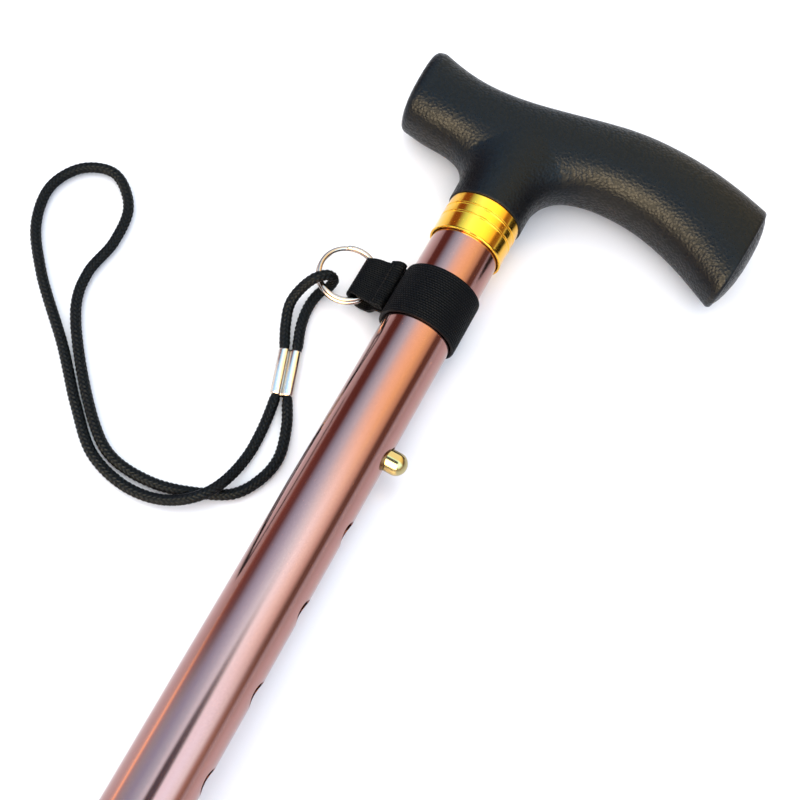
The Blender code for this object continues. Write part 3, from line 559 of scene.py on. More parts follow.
shoulder = [foot] + [foot_middle + (foot - foot_middle) * (radius / NECK_RADIUS) - np.array([0, 0, drop])
                     for radius, drop in spigot]

# %% [markdown]
# The handle's plastic is black with a leather grain from the mould: rounded pebbles of about a millimetre,
# divided by fine valleys. The pebbles are the distances of a Voronoi pattern, broken up by a finer noise.
# They drive the bump, the roughness and the colour together; the colour is painted shade, darker in the valleys
# and lighter on the pebbles. The plastic is a little shinier on top of the pebbles, where hands rub it.

# %% The handle's finish
grip_black, tree, shader = new_finish("grained black plastic", (0.006, 0.006, 0.007), 0.45)
shader.inputs["Specular IOR Level"].default_value = 0.155
shader.inputs["Specular Tint"].default_value = (0.74, 0.88, 1.0, 1.0)
spot = place(tree)
wander = node(tree, "ShaderNodeTexNoise", {"Vector": spot, "Scale": 700.0, "Detail": 2.0})
shifted = node(tree, "ShaderNodeVectorMath", {0: wander.outputs["Color"], 1: (0.0007, 0.0007, 0.0007)},
               operation="MULTIPLY")
warped = node(tree, "ShaderNodeVectorMath", {0: spot, 1: shifted.outputs[0]}, operation="ADD").outputs[0]
pebbles = node(tree, "ShaderNodeTexVoronoi", {"Vector": warped, "Scale": 1050.0}, feature="F1")
valleys = node(tree, "ShaderNodeTexNoise", {"Vector": spot, "Scale": 3200.0, "Detail": 3.0, "Roughness": 0.6})
dome = ramp(tree, pebbles.outputs["Distance"], [(0.0, 1.0), (0.35, 0.85), (0.75, 0.1)])
grain = math_node(tree, "ADD", dome, math_node(tree, "MULTIPLY", valleys.outputs["Fac"], 0.35))
bump(tree, shader, grain, 0.00009)
tree.links.new(ramp(tree, dome, [(0.2, 0.48), (0.95, 0.27)]), shader.inputs["Roughness"])
# The colour is painted shade: darker in the grain's valleys and lighter on the pebbles' tops.
tree.links.new(ramp(tree, grain, [(0.2, (0.0007, 0.0008, 0.0012)), (1.0, (0.0026, 0.0028, 0.0038))]),
               shader.inputs["Base Color"])

# %% The handle
grids = [upper, nose, tail, *neck]
pieces = [(on_cane(grid), grid_quads(*grid.shape[:2])) for grid in grids]
pieces += [(on_cane(grid), grid_quads(*grid.shape[:2], close_columns=True))
           for grid in (nose_end, tail_end, np.stack(shoulder))]
add_piece("moulded_handle", pieces, grip_black, "root", ["handle_grip"], sharp=55)

# %% [markdown]
# Turned pieces are a profile carried round the shaft: a point (r, h) of the profile goes to (r cos a, r sin
# a, h). A closed profile gives a ring, and one that ends on the axis gives a solid.

# %% Turned pieces


def turned(profile, sides=160, closed=True):
    """The grid of a profile turned round the shaft's axis, in world metres, with its quads."""
    profile = np.array(profile, float)
    a = np.linspace(0, 2 * math.pi, sides, endpoint=False)[None, :]
    r, h = profile[:, :1], profile[:, 1:]
    grid = np.stack([r * np.cos(a), r * np.sin(a), np.broadcast_to(h, (len(profile), sides))], -1)
    return on_cane(grid), grid_quads(*grid.shape[:2], close_rows=closed, close_columns=True)


def round_edge(r, h, size, start, count=5):
    """A quarter circle of a profile's corner: centre (r, h), radius size, from the angle start, clockwise."""
    a = np.radians(np.linspace(start, start - 90, count))
    return list(zip(r + size * np.cos(a), h + size * np.sin(a)))


# %% [markdown]
# The collar is a thin turned sleeve of gold-coloured metal. Two fine grooves run round it near the handle,
# each with a bright burr, and its lower edge is rolled into a small lip. The finish is polished, with the
# faint circles that a polishing lathe leaves: noise that is stretched round the shaft.

# %% The collar
gold, tree, shader = new_finish("polished gold", (0.88, 0.48, 0.045), 0.13, 1.0)
rings = node(tree, "ShaderNodeTexNoise", {"Vector": place(tree, (40, 6000, 40)), "Scale": 1.0, "Detail": 3.0})
bump(tree, shader, rings.outputs["Fac"], 0.000004)
tree.links.new(ramp(tree, rings.outputs["Fac"], [(0.3, 0.1), (0.8, 0.2)]), shader.inputs["Roughness"])
COLLAR_RADIUS, COLLAR_BORE, GROOVE_RADIUS = 11.9, 11.32, 11.7
GROOVE_SIDE = [(COLLAR_RADIUS, 0.62), (COLLAR_RADIUS, 0.5), (11.96, 0.34), (11.93, 0.24), (11.72, 0.12)]
profile = [(COLLAR_BORE, 0.15), (11.45, 0.0), (11.85, 0.0), (12.02, 0.12), (12.08, 0.35), (12.02, 0.6),
           (11.93, 0.75), (COLLAR_RADIUS, 1.0)]
for height in (COLLAR_HEIGHT - 7.3, COLLAR_HEIGHT - 4.0):
    profile += [(r, height - away) for r, away in GROOVE_SIDE]
    profile += [(GROOVE_RADIUS, height)]
    profile += [(r, height + away) for r, away in GROOVE_SIDE[::-1]]
profile += [(COLLAR_RADIUS, COLLAR_HEIGHT - 0.3), (11.8, COLLAR_HEIGHT - 0.05), (11.5, COLLAR_HEIGHT),
            (COLLAR_BORE, COLLAR_HEIGHT)]
profile = [(r, h + COLLAR_FOOT) for r, h in profile]
add_piece("gold_collar", [turned(profile)], gold, "root", ["collar"], sharp=20)

# %% [markdown]
# The outer tube is drawn aluminium with a bronze anodised skin. The seven setting holes are drilled through
# one wall on the long arm's side: cylinders take them out of the turned tube, with a Boolean, which is
# applied so that only the mesh is left. The inner tube slides in it and has one hole, for the button. The
# skin is drawn as a tinted metal. Drawing leaves streaks along the tube, so its noise is stretched a
# hundredfold along the shaft.

# %% The anodised finish
bronze, tree, shader = new_finish("bronze anodised aluminium", (0.34, 0.175, 0.15), 0.14, 1.0)
streaks = node(tree, "ShaderNodeTexNoise", {"Vector": place(tree, (2600, 18, 2600)), "Scale": 1.0, "Detail": 3.0})
specks = node(tree, "ShaderNodeTexNoise", {"Vector": place(tree), "Scale": 5200.0, "Detail": 2.0})
tree.links.new(ramp(tree, streaks.outputs["Fac"], [(0.3, 0.1), (0.75, 0.15)]), shader.inputs["Roughness"])
skin = ramp(tree, specks.outputs["Fac"], [(0.3, (0.30, 0.155, 0.138)), (0.7, (0.35, 0.185, 0.162))])
tree.links.new(skin, shader.inputs["Base Color"])
soft = bump(tree, shader, streaks.outputs["Fac"], 0.000002)
bump(tree, shader, specks.outputs["Fac"], 0.000004, below=soft)

# %% The two tubes
TUBE_RADIUS, TUBE_BORE, TUBE_END, TUBE_TOP = 11.1, 9.9, 275.0, 733.8
HOLE_PITCH, TOP_HOLE, HOLE_RADIUS, HOLE_COUNT = 25.4, 648.5, 4.0, 7


def cutter(outline, inner, outer, angle=0.0):
    """A closed bar from one distance off the shaft to another: the (y, height) outline, turned by the angle."""
    middle = outline.mean(0)
    reach, size = np.array([inner, inner, outer, outer])[:, None], np.array([0, 1, 1, 0])[:, None, None]
    across = (middle + size * (outline - middle))[..., 0]
    height = (middle + size * (outline - middle))[..., 1]
    c, s = math.cos(angle), math.sin(angle)
    return np.stack([reach * c - across * s, reach * s + across * c, height], -1)


def cut(whole, cutters):
    """Take each cutter out of the piece, and keep only the mesh that is left."""
    for bar in cutters:
        faces = grid_quads(*bar.shape[:2], close_columns=True)
        tool = add_piece("cutter", [(on_cane(bar), faces)], bronze, None)
        boolean = whole.modifiers.new("cut", "BOOLEAN")
        boolean.operation, boolean.solver, boolean.object = "DIFFERENCE", "EXACT", tool
        result = bpy.data.meshes.new_from_object(whole.evaluated_get(bpy.context.evaluated_depsgraph_get()))
        whole.modifiers.clear()
        whole.data = result
        bpy.data.objects.remove(tool)
    whole.data.shade_smooth()
    whole.data.set_sharp_from_angle(angle=math.radians(25))
    print(whole.name, "cut", len(cutters), "times:", len(whole.data.polygons), "faces")


def round_hole(height, radius):
    """The outline of a hole: (r cos a, height + r sin a)."""
    a = np.linspace(0, 2 * math.pi, 48, endpoint=False)
    return np.stack([radius * np.cos(a), height + radius * np.sin(a)], -1)


wall = [(TUBE_BORE + 0.15, TUBE_END), (TUBE_RADIUS - 0.15, TUBE_END), (TUBE_RADIUS, TUBE_END + 0.15)]
wall += [(TUBE_RADIUS, TUBE_TOP), (TUBE_BORE, TUBE_TOP), (TUBE_BORE, TUBE_END + 0.15)]
outer_tube = add_piece("outer_tube", [turned(wall)], bronze, "root", ["upper_tube"], sharp=30)
cut(outer_tube, [cutter(round_hole(TOP_HOLE - k * HOLE_PITCH, HOLE_RADIUS), TUBE_BORE - 4, TUBE_RADIUS + 2)
                 for k in range(HOLE_COUNT)])
INNER_RADIUS, INNER_BORE, INNER_TOP, INNER_END = 9.53, 8.4, 661.5, 7.8
wall = [(INNER_BORE, INNER_END), (INNER_RADIUS, INNER_END), (INNER_RADIUS, INNER_TOP), (INNER_BORE, INNER_TOP)]
inner_tube = add_piece("inner_tube", [turned(wall, 128)], bronze, "lower_shaft", ["lower_tube"],
                       sharp=30)
cut(inner_tube, [cutter(round_hole(TOP_HOLE, 3.8), INNER_BORE - 4, INNER_RADIUS + 2)])

# %% [markdown]
# The snap button is a brass pin with a domed head. It sits in the inner tube's wall and comes out through
# the outer tube's hole, and it points along the long arm's side, so its profile is turned round that line
# instead of the shaft: r and h become a circle of radius r at distance h from the shaft.

# %% The snap button
brass, tree, shader = new_finish("polished brass", (0.36, 0.3, 0.14), 0.1, 1.0)
smears = node(tree, "ShaderNodeTexNoise", {"Vector": place(tree), "Scale": 700.0, "Detail": 4.0})
tree.links.new(ramp(tree, smears.outputs["Fac"], [(0.3, 0.08), (0.75, 0.2)]), shader.inputs["Roughness"])
bump(tree, shader, smears.outputs["Fac"], 0.000005)
a = np.radians(np.linspace(0, 90, 16))
BUTTON_RADIUS, DOME_FOOT, DOME_HEIGHT = 3.5, 13.6, 3.4
FLANGE_RADIUS, FLANGE_FOOT, FLANGE_TOP = 4.3, 6.0, 6.7
flange = [(0, FLANGE_FOOT), (FLANGE_RADIUS - 0.1, FLANGE_FOOT), (FLANGE_RADIUS, FLANGE_FOOT + 0.1),
          (FLANGE_RADIUS, FLANGE_TOP - 0.1), (FLANGE_RADIUS - 0.1, FLANGE_TOP), (BUTTON_RADIUS, FLANGE_TOP)]
head = np.stack([BUTTON_RADIUS * np.cos(a), DOME_FOOT + DOME_HEIGHT * np.sin(a)], -1)
button = np.concatenate([flange, head])
a = np.linspace(0, 2 * math.pi, 72, endpoint=False)[None, :]
r, h = button[:, :1], button[:, 1:]
button = np.stack([h + 0 * a, r * np.cos(a), TOP_HOLE + r * np.sin(a)], -1)
button[-1] = button[-1].mean(0)
add_piece("brass_snap_button", [(on_cane(button), grid_quads(*button.shape[:2], close_columns=True))],
          brass, "button", ["snap_button"], sharp=50)

# %% [markdown]
# Under the row of holes the outer tube ends in a nylon collet, and a lock nut squeezes it. Six slits run up
# from the collet's lower end, so that its fingers can close on the inner tube. The nut is turned too, but
# its radius also rises and falls round the shaft, which makes the grip's ribs. Moulded nylon is satin
# black, with a fine dull texture.

# %% The collet sleeve and the lock nut
nylon, tree, shader = new_finish("black nylon", (0.008, 0.008, 0.009), 0.42)
matt = node(tree, "ShaderNodeTexNoise", {"Vector": place(tree), "Scale": 2600.0, "Detail": 3.0})
tree.links.new(ramp(tree, matt.outputs["Fac"], [(0.3, 0.36), (0.7, 0.52)]), shader.inputs["Roughness"])
bump(tree, shader, matt.outputs["Fac"], 0.00003)
SLEEVE_TOP, SLEEVE_STEP, SLEEVE_END = TUBE_END + 15, TUBE_END - 0.3, TUBE_END - 15
FINGER_BORE = INNER_RADIUS + 0.3
sleeve = [(11.4, SLEEVE_STEP), (11.4, SLEEVE_TOP - 0.2)] + round_edge(11.6, SLEEVE_TOP - 0.2, 0.2, 180, 4)
sleeve += round_edge(12.3, SLEEVE_TOP - 0.6, 0.6, 90)
sleeve += [(12.9, SLEEVE_STEP - 3), (11.9, SLEEVE_STEP - 5), (11.2, SLEEVE_END), (FINGER_BORE, SLEEVE_END),
           (FINGER_BORE, SLEEVE_STEP)]
collet = add_piece("slit_collet", [turned(sleeve)], nylon, "root", ["collet_sleeve"])
SLIT_HALF, SLIT_COUNT = 0.6, 6
SLIT_INNER, SLIT_OUTER = 9.0, 13.5  # from inside the sleeve's bore to beyond its outside
slit = np.array([(-SLIT_HALF, SLEEVE_END - 1), (SLIT_HALF, SLEEVE_END - 1),
                 (SLIT_HALF, SLEEVE_STEP - 2), (-SLIT_HALF, SLEEVE_STEP - 2)])
cut(collet, [cutter(slit, SLIT_INNER, SLIT_OUTER, 2 * math.pi * k / SLIT_COUNT) for k in range(SLIT_COUNT)])

NUT_TOP, NUT_END, NUT_RADIUS, NUT_RIBS, RIB_DEPTH = TUBE_END + 9, TUBE_END - 19, 15.0, 24, 0.7
NUT_BORE = 13.25
nut = [(NUT_BORE, NUT_TOP), (14.2, NUT_TOP)] + round_edge(14.2, NUT_TOP - 0.6, 0.6, 90)
nut += [(NUT_RADIUS, NUT_TOP - 1.6), (NUT_RADIUS, NUT_TOP - 2.4)]
nut += [(NUT_RADIUS, h) for h in np.linspace(NUT_TOP - 3, NUT_END + 8, 12)]
nut += [(NUT_RADIUS, NUT_END + 7), (14.8, NUT_END + 5.5), (14.0, NUT_END + 2.6), (13.3, NUT_END + 0.8)]
nut += [(12.7, NUT_END), (FINGER_BORE, NUT_END), (FINGER_BORE, SLEEVE_END - 0.6), (11.7, SLEEVE_END - 0.6),
        (12.4, SLEEVE_STEP - 5), (NUT_BORE, SLEEVE_STEP - 2.5)]
nut = np.array(nut)
a = np.linspace(0, 2 * math.pi, NUT_RIBS * 12, endpoint=False)[None, :]
ribbed = np.clip((NUT_TOP - 2.2 - nut[:, 1:]) / 1.2, 0, 1) * np.clip((nut[:, 1:] - NUT_END - 6.5) / 1.5, 0, 1)
ribbed = ribbed * (nut[:, :1] > NUT_RADIUS - 0.1)
groove = np.clip(1.4 * np.cos(NUT_RIBS * a) ** 2 - 0.4, 0, 1)
r = nut[:, :1] - RIB_DEPTH * ribbed * (1 - groove)
nut = np.stack([r * np.cos(a), r * np.sin(a), nut[:, 1:] + 0 * a], -1)
add_piece("ribbed_lock_nut", [(on_cane(nut), grid_quads(*nut.shape[:2], close_rows=True, close_columns=True))],
          nylon, "nut", ["lock_nut"], sharp=50)

# %% [markdown]
# The rubber tip is a moulded cup with a thick rim at the top, a waist, and a foot that flares to the
# ground, so that it bends and grips when the cane leans. Rings in its sole and on its foot give it hold.
# Rubber is matt and slightly dusty, more grey than black.

# %% The rubber tip
rubber, tree, shader = new_finish("black rubber", (0.020, 0.020, 0.020), 0.78)
dust = node(tree, "ShaderNodeTexNoise", {"Vector": place(tree), "Scale": 420.0, "Detail": 5.0, "Roughness": 0.65})
tree.links.new(ramp(tree, dust.outputs["Fac"], [(0.35, (0.006, 0.006, 0.006)), (0.75, (0.016, 0.0155, 0.0145))]),
               shader.inputs["Base Color"])
bump(tree, shader, dust.outputs["Fac"], 0.00006)
TIP_BORE, TIP_FLOOR, TIP_HEIGHT = INNER_RADIUS + 0.3, 6.0, 50.0
SOLE_GROOVES, GROOVE_DEPTH = (13.6, 10.2, 6.8), 0.9  # the grooves' outer radii, and how deep they are
tip = [(0, TIP_FLOOR), (TIP_BORE, TIP_FLOOR), (TIP_BORE, TIP_HEIGHT - 0.4)]
tip += [(10.1, TIP_HEIGHT), (12.5, TIP_HEIGHT)]
tip += round_edge(12.5, TIP_HEIGHT - 0.8, 0.8, 90)
tip += [(13.3, 46.5), (13.15, 45.6), (12.75, 45.2), (12.75, 44.4), (13.15, 44.0), (13.35, 43.2), (13.4, 24.5)]
tip += [(13.3, 22.0), (13.05, 19.5), (12.9, 17.0), (12.9, 14.5), (13.3, 12.0), (14.2, 9.6), (15.5, 7.7)]
tip += [(16.7, 6.6), (17.2, 6.0), (17.42, 5.3), (17.5, 4.6), (17.5, 3.7), (17.2, 3.4), (17.2, 3.0), (17.5, 2.7)]
tip += [(17.5, 1.0), (17.35, 0.4), (16.9, 0.0)]
for r in SOLE_GROOVES:
    tip += [(r, 0), (r - 0.2, GROOVE_DEPTH), (r - 1.0, GROOVE_DEPTH), (r - 1.2, 0)]
tip += [(0, 0)]
add_piece("rubber_ferrule", [turned(tip, closed=False)], rubber, "lower_shaft", ["rubber_tip"],
          sharp=45)

# %% [markdown]
# The strap is elastic webbing: rows of small looped threads that run along the strap, with rubber between
# them. The band goes round the tube, so its rows go round too. Its outer face is a grid round the tube and
# across the strap. Each row is a rounded rib, and along it the loops swell and shrink, half a loop later on
# every second row. The tab pulls the band a little off the tube where it leaves it, most at the edge nearer
# the tip.

# %% The webbing's finish
webbing, tree, shader = new_finish("elastic webbing", (0.004, 0.004, 0.005), 0.5)
shader.inputs["Specular IOR Level"].default_value = 0.075
shader.inputs["Specular Tint"].default_value = (0.58, 0.78, 1.0, 1.0)
threads = node(tree, "ShaderNodeTexNoise", {"Vector": place(tree), "Scale": 6000.0, "Detail": 2.0})
bump(tree, shader, threads.outputs["Fac"], 0.00005)
crest = node(tree, "ShaderNodeAttribute", attribute_name="relief").outputs["Fac"]
# The colour is painted shade: the hollows between the ribs are darker and the crests lighter, with the threads'
# noise as a random tone.
fibre_tone_and_hollow_shade = ramp(tree, math_node(tree, "MULTIPLY", crest, threads.outputs["Fac"]),
            [(0.1, (0.0001, 0.0001, 0.0002)), (0.5, (0.003, 0.0031, 0.0042))])
tree.links.new(fibre_tone_and_hollow_shade, shader.inputs["Base Color"])
tree.links.new(ramp(tree, crest, [(0.3, 0.95), (0.8, 0.36)]), shader.inputs["Roughness"])

# %% The band round the tube
STRAP_CENTRE, STRAP_WIDTH, STRAP_THICK = COLLAR_FOOT - 23.6, 18.0, 1.2
BAND_BORE = TUBE_RADIUS + 0.1
ROW_PITCH = 0.78
LOOP_PITCH = 0.95
RIB_HEIGHT = 0.36


def webbing_height(along, across):
    """0 to 1 over the webbing's face: ribs along it, whose loops swell and shrink."""
    row = np.floor(across / ROW_PITCH)
    rib = np.abs(np.sin(math.pi * across / ROW_PITCH)) ** 0.8
    loop = 0.5 + 0.5 * np.cos(2 * math.pi * (along / LOOP_PITCH + 0.5 * (row % 2)))
    return rib * (0.6 + 0.4 * loop)


def strap_section(width, outer_count, inner_count):
    """(across, outwards) round the strap's section: the outer face, a rounded edge, the inner face, an edge."""
    half, edge = width / 2, STRAP_THICK / 2
    bow = np.radians(np.linspace(70, -70, 7))
    right = np.stack([half - 0.6 * edge + 0.6 * edge * np.cos(bow), edge * np.sin(bow)], -1)
    outer = np.stack([np.linspace(-1, 1, outer_count) * (half - 0.6 * edge), np.full(outer_count, edge)], -1)
    inner = np.stack([np.linspace(1, -1, inner_count) * (half - 0.6 * edge), np.full(inner_count, -edge)], -1)
    return np.concatenate([outer, right, inner, (right * [-1, 1])[::-1]])


FACE_POINTS = 118  # across the band's outer face
LOOP_RADIUS = 12.3  # of the circle on which the loops are counted
TAB_SIDE, TAB_REACH = math.radians(205), math.radians(24)  # where the tab leaves the band, how wide it pulls
section = strap_section(STRAP_WIDTH, FACE_POINTS, 12)
a = np.linspace(0, 2 * math.pi, 420, endpoint=False)[:, None]
across, level = section[None, :, 0], section[None, :, 1]
beside_tab = np.exp(-((a - TAB_SIDE) / TAB_REACH) ** 2)
stand_off = beside_tab * (0.25 + 0.5 * (0.5 - across / STRAP_WIDTH))
crests = np.where(np.arange(len(section))[None, :] < FACE_POINTS, webbing_height(a * LOOP_RADIUS, across), 0.7)
r = BAND_BORE + STRAP_THICK / 2 + stand_off + level + RIB_HEIGHT * (crests - 0.7)
band = np.stack([r * np.cos(a), r * np.sin(a), STRAP_CENTRE + across + 0 * a], -1)
add_piece("elastic_band", [(on_cane(band), grid_quads(*band.shape[:2], close_rows=True, close_columns=True))],
          webbing, "strap", ["strap_band"], sharp=180, relief=crests)

# %% [markdown]
# The tab is the same webbing, folded round the ring, with its end turned back over itself and sewn near the
# band. Its middle line is drawn in the plane across the shaft, in heights from the middle of the ring: from
# the sewn end over the ring, round the fold, and back under the ring to the band. The webbing's section is
# carried along that line, narrower at the fold than at the root, because it gathers there. The first nine
# millimetres from the sewn end are puckered.

# %% The tab's middle line
RING_UP = -7.51  # the middle of the ring, from the shaft's axis
TAB_LINE = [(-17.8, 5.35), (-16.4, 5.75), (-14.6, 5.95), (-13.75, 5.55), (-13.8, 4.75),
            (-14.8, 4.35), (-16.2, 4.25), (-17.9, 4.05), (-19.6, 3.75), (-21.5, 3.6), (-23.3, 3.4),
            (-24.8, 2.5), (-25.3, 0.8), (-24.9, -1.1), (-23.6, -2.6), (-21.8, -3.4), (-19.8, -3.5),
            (-18.0, -2.7), (-16.6, -0.6), (-15.3, 1.6), (-13.6, 2.9), (-12.9, 3.1)]
tab_line = evenly(smooth_curve(TAB_LINE, 12), 0.2)
toward = np.gradient(tab_line, axis=0)
toward /= np.linalg.norm(toward, axis=1)[:, None]
outward = np.stack([toward[:, 1], -toward[:, 0]], -1)[:, None, :]
print("tab:", round(float(distance_along(tab_line)[-1]), 1), "mm of webbing from its sewn end to the band")

# %% The tab
TAB_WIDTH, FOLD_WIDTH = 16.8, 13.6
PUCKER, PUCKER_END = 0.16, 9.0  # its height, and how far from the sewn end it has died out
HEM_ROWS = 34  # rows of the line, from the sewn end, whose corner is lifted
section = strap_section(TAB_WIDTH, 92, 92)
crests = webbing_height(distance_along(tab_line)[:, None], section[None, :, 0])
face = np.sign(section[None, :, 1]) * (np.abs(section[None, :, 1]) > 0.99 * STRAP_THICK / 2)
rise = section[None, :, 1] + RIB_HEIGHT * (crests - 0.8) * face
share = np.clip((-14.0 - tab_line[:, :1]) / 10.5, 0, 1)
along_tab = distance_along(tab_line)[:, None]
pucker = np.sin(0.95 * section[None, :, 0] + 0.5 * along_tab)
pucker = pucker * np.sin(0.8 * along_tab - 0.45 * section[None, :, 0])
rise = rise + PUCKER * pucker * np.clip(along_tab / 3, 0, 1) * np.clip((PUCKER_END - along_tab) / 3, 0, 1)
across = section[None, :, 0] * (1 + (FOLD_WIDTH / TAB_WIDTH - 1) * share)
across = across + 0.12 * np.sin(1.1 * along_tab) * section[None, :, 0] / TAB_WIDTH * 2
hem_corner = 0.9 * np.exp(-((tab_line[:, :1] + 14.5) / 2.2) ** 2 - ((across - TAB_WIDTH / 2) / 2.4) ** 2)
hem_corner = hem_corner * (np.arange(len(tab_line))[:, None] < HEM_ROWS)
flat = tab_line[:, None, :] + outward * rise[..., None]
height = COLLAR_FOOT - 21.0 - 0.4 * share + across
tab = np.stack([flat[..., 0], flat[..., 1] + RING_UP + hem_corner, height], -1)
ends = [np.concatenate([tab_line[k] + [0, RING_UP], [0]])[None] * [1, 1, 0] + tab[k] * [0, 0, 1] for k in (0, -1)]
tab = np.concatenate([ends[0][None], tab, ends[1][None]])
crests = np.concatenate([crests[:1], crests, crests[-1:]])
add_piece("folded_tab", [(on_cane(tab), grid_quads(*tab.shape[:2], close_columns=True))],
          webbing, "strap", ["strap_tab"], sharp=180, relief=crests)

# %% [markdown]
# The hem is sewn down with a row of short stitches in black thread. A stitch is a thread that comes out of
# the webbing, lies on it for a millimetre and goes back in: a low arch, swept with a small round section.

# %% The stitches
thread, tree, shader = new_finish("sewing thread", (0.006, 0.006, 0.007), 0.5)
shader.inputs["Specular IOR Level"].default_value = 0.1
twist = node(tree, "ShaderNodeTexWave", {"Vector": place(tree, turn=(0, 0, 0.6)), "Scale": 1500.0})
bump(tree, shader, twist.outputs["Fac"], 0.00003)
STITCHES, STITCH_PITCH, STITCH_HALF, STITCH_RISE = 9, 1.62, 0.55, 0.28
arch = np.linspace(0, math.pi, 13)
stitches = []
for k in range(STITCHES):
    middle = COLLAR_FOOT - 21.4 + (k - (STITCHES - 1) / 2) * STITCH_PITCH
    rise = RING_UP + 6.05 + STITCH_RISE * np.sin(arch)
    line = np.stack([0 * arch - 17.0, rise, middle - STITCH_HALF * np.cos(arch)], -1)
    tube = swept(line, np.full((13, 8), 0.16), np.linspace(0, 2 * math.pi, 8, endpoint=False)[None, :])
    stitches.append((on_cane(tube), grid_quads(*tube.shape[:2], close_columns=True)))
add_piece("hem_stitches", stitches, thread, "strap", sharp=180)

# %% [markdown]
# Inside the inner tube a strip of spring steel, bent like a hairpin, pushes the button out. One leg lies under
# the button and the other against the far wall. When the button is pressed the bend closes, so the strip can't
# ride on one body; it is attached to none and stays where it is drawn.

# %% The leaf spring
steel, tree, shader = new_finish("bright steel", (0.56, 0.56, 0.57), 0.28, 1.0)
marks = node(tree, "ShaderNodeTexNoise", {"Vector": place(tree, (3000, 3000, 120)), "Scale": 1.0, "Detail": 3.0})
tree.links.new(ramp(tree, marks.outputs["Fac"], [(0.3, 0.2), (0.75, 0.4)]), shader.inputs["Roughness"])
bump(tree, shader, marks.outputs["Fac"], 0.000006)
LEAF, LEAF_WIDTH = 0.5, 5.0
LEG_NEAR, LEG_FAR, BEND_DEPTH = 5.6, -7.2, 40.0
middle, radius = (LEG_NEAR + LEG_FAR) / 2, (LEG_NEAR - LEG_FAR) / 2
bow = np.radians(np.linspace(90, 270, 33))
near = np.stack([np.full(20, LEG_NEAR), np.linspace(TOP_HOLE + 4, TOP_HOLE - BEND_DEPTH, 21)[:-1]], -1)
bend = np.stack([middle + radius * np.sin(bow), TOP_HOLE - BEND_DEPTH + radius * np.cos(bow)], -1)
far = np.stack([np.full(20, LEG_FAR), np.linspace(TOP_HOLE - BEND_DEPTH, TOP_HOLE + 2, 21)[1:]], -1)
strip = np.concatenate([near, bend, far])
strip_way = np.gradient(strip, axis=0)
strip_way /= np.linalg.norm(strip_way, axis=1)[:, None]
strip_side = np.stack([strip_way[:, 1], -strip_way[:, 0]], -1) * LEAF / 2
section = np.array([(1, 1), (-1, 1), (-1, -1), (1, -1)])
face = strip[:, None] + strip_side[:, None] * section[None, :, :1]
leaf = np.stack([face[..., 0], np.broadcast_to(section[:, 1] * LEAF_WIDTH / 2, face.shape[:2]), face[..., 1]], -1)
ends = [end.mean(1, keepdims=True).repeat(4, 1) for end in (leaf[:1], leaf[-1:])]
leaf = np.concatenate([ends[0], leaf, ends[1]])
spring = add_piece("leaf_spring", [(on_cane(leaf), grid_quads(*leaf.shape[:2], close_columns=True))], steel, None,
                   ["button_spring"], sharp=40)
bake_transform(spring)

# %% [markdown]
# Three CAD pieces are already the right shape and stay as they are: the handle's cross pin, the glide plug
# and the washer in the tip. They only get their finishes: steel with fine rolling marks, and the nylon of
# the collet.

# %% The kept CAD pieces
for name, finish in (("handle_pin", steel), ("tip_washer", steel), ("glide_plug", nylon)):
    frame["nodes"][name].material_slots[0].material = finish
print("kept from the CAD: handle_pin, tip_washer, glide_plug")

# %% [markdown]
# The cane lies on a white table. A disc six metres across is enough. Seen from low down, its far edge shows
# against the backdrop.

# %% The floor
FLOOR_RADIUS = 3.0
FLOOR_DROP = 0.0003
white = new_finish("white table", (0.90, 0.91, 0.92), 0.2)[0]
a = np.linspace(0, 2 * math.pi, 96, endpoint=False)
rim = np.stack([FLOOR_RADIUS * np.cos(a), FLOOR_RADIUS * np.sin(a), 0 * a - FLOOR_DROP], -1)
table_mesh = bpy.data.meshes.new("table")
table_mesh.from_pydata(rim.tolist(), [], [list(range(len(rim)))])
table_mesh.materials.append(white)
table = bpy.data.objects.new("table", table_mesh)
bpy.context.scene.collection.objects.link(table)
print("table:", 2 * FLOOR_RADIUS, "m across")

# %% [markdown]
# A polished tube shows the room round it as long stripes, so the light is drawn as a room: soft bright
# windows overhead, cool towards the tip and warm towards the handle, and dim walls left and right. Beyond
# the tip the room ends in a dim wall with one warm window in it, and nearly straight overhead a dark gap is
# left between the windows. The room is a World whose colour depends on the direction: the angle from
# straight up, to the right or left, goes through three ramps, and the direction along the room fades from
# one ramp to the next.

# %% The room that the polished pieces reflect
STRENGTH = 10.0  # the ramps hold a tenth of each brightness
TABLE_SIDE = (1.05, 1.15, 1.3)
LOW = [(-93, TABLE_SIDE), (-90, (3.4, 2.5, 1.7)), (-86, (2.9, 2.1, 1.5)), (-80, (1.2, 1.2, 1.3)),
       (-66, (0.95, 1.3, 1.6)), (-46, (0.84, 1.25, 1.9)), (-25, (1.2, 1.9, 2.5)), (-5, (2.2, 3.1, 3.7)),
       (15, (2.5, 3.4, 4.1)), (36, (2.6, 3.7, 4.6)), (56, (2.4, 3.2, 3.6)), (70, (1.1, 0.9, 0.8)),
       (80, (0.7, 0.5, 0.4)), (88, TABLE_SIDE)]
COOL = [(-90, (0.9, 0.7, 0.65)), (-84, (0.5, 0.2, 0.16)), (-66, (0.35, 0.19, 0.19)), (-46, (0.9, 1.3, 1.85)),
        (-25, (1.4, 2.1, 2.8)), (-5, (2.1, 3.2, 3.8)), (15, (2.9, 3.9, 4.3)), (36, (2.6, 2.9, 2.8)),
        (56, (1.6, 1.45, 1.3)), (68, (0.37, 0.25, 0.2)), (80, (0.37, 0.25, 0.2)), (86, TABLE_SIDE)]
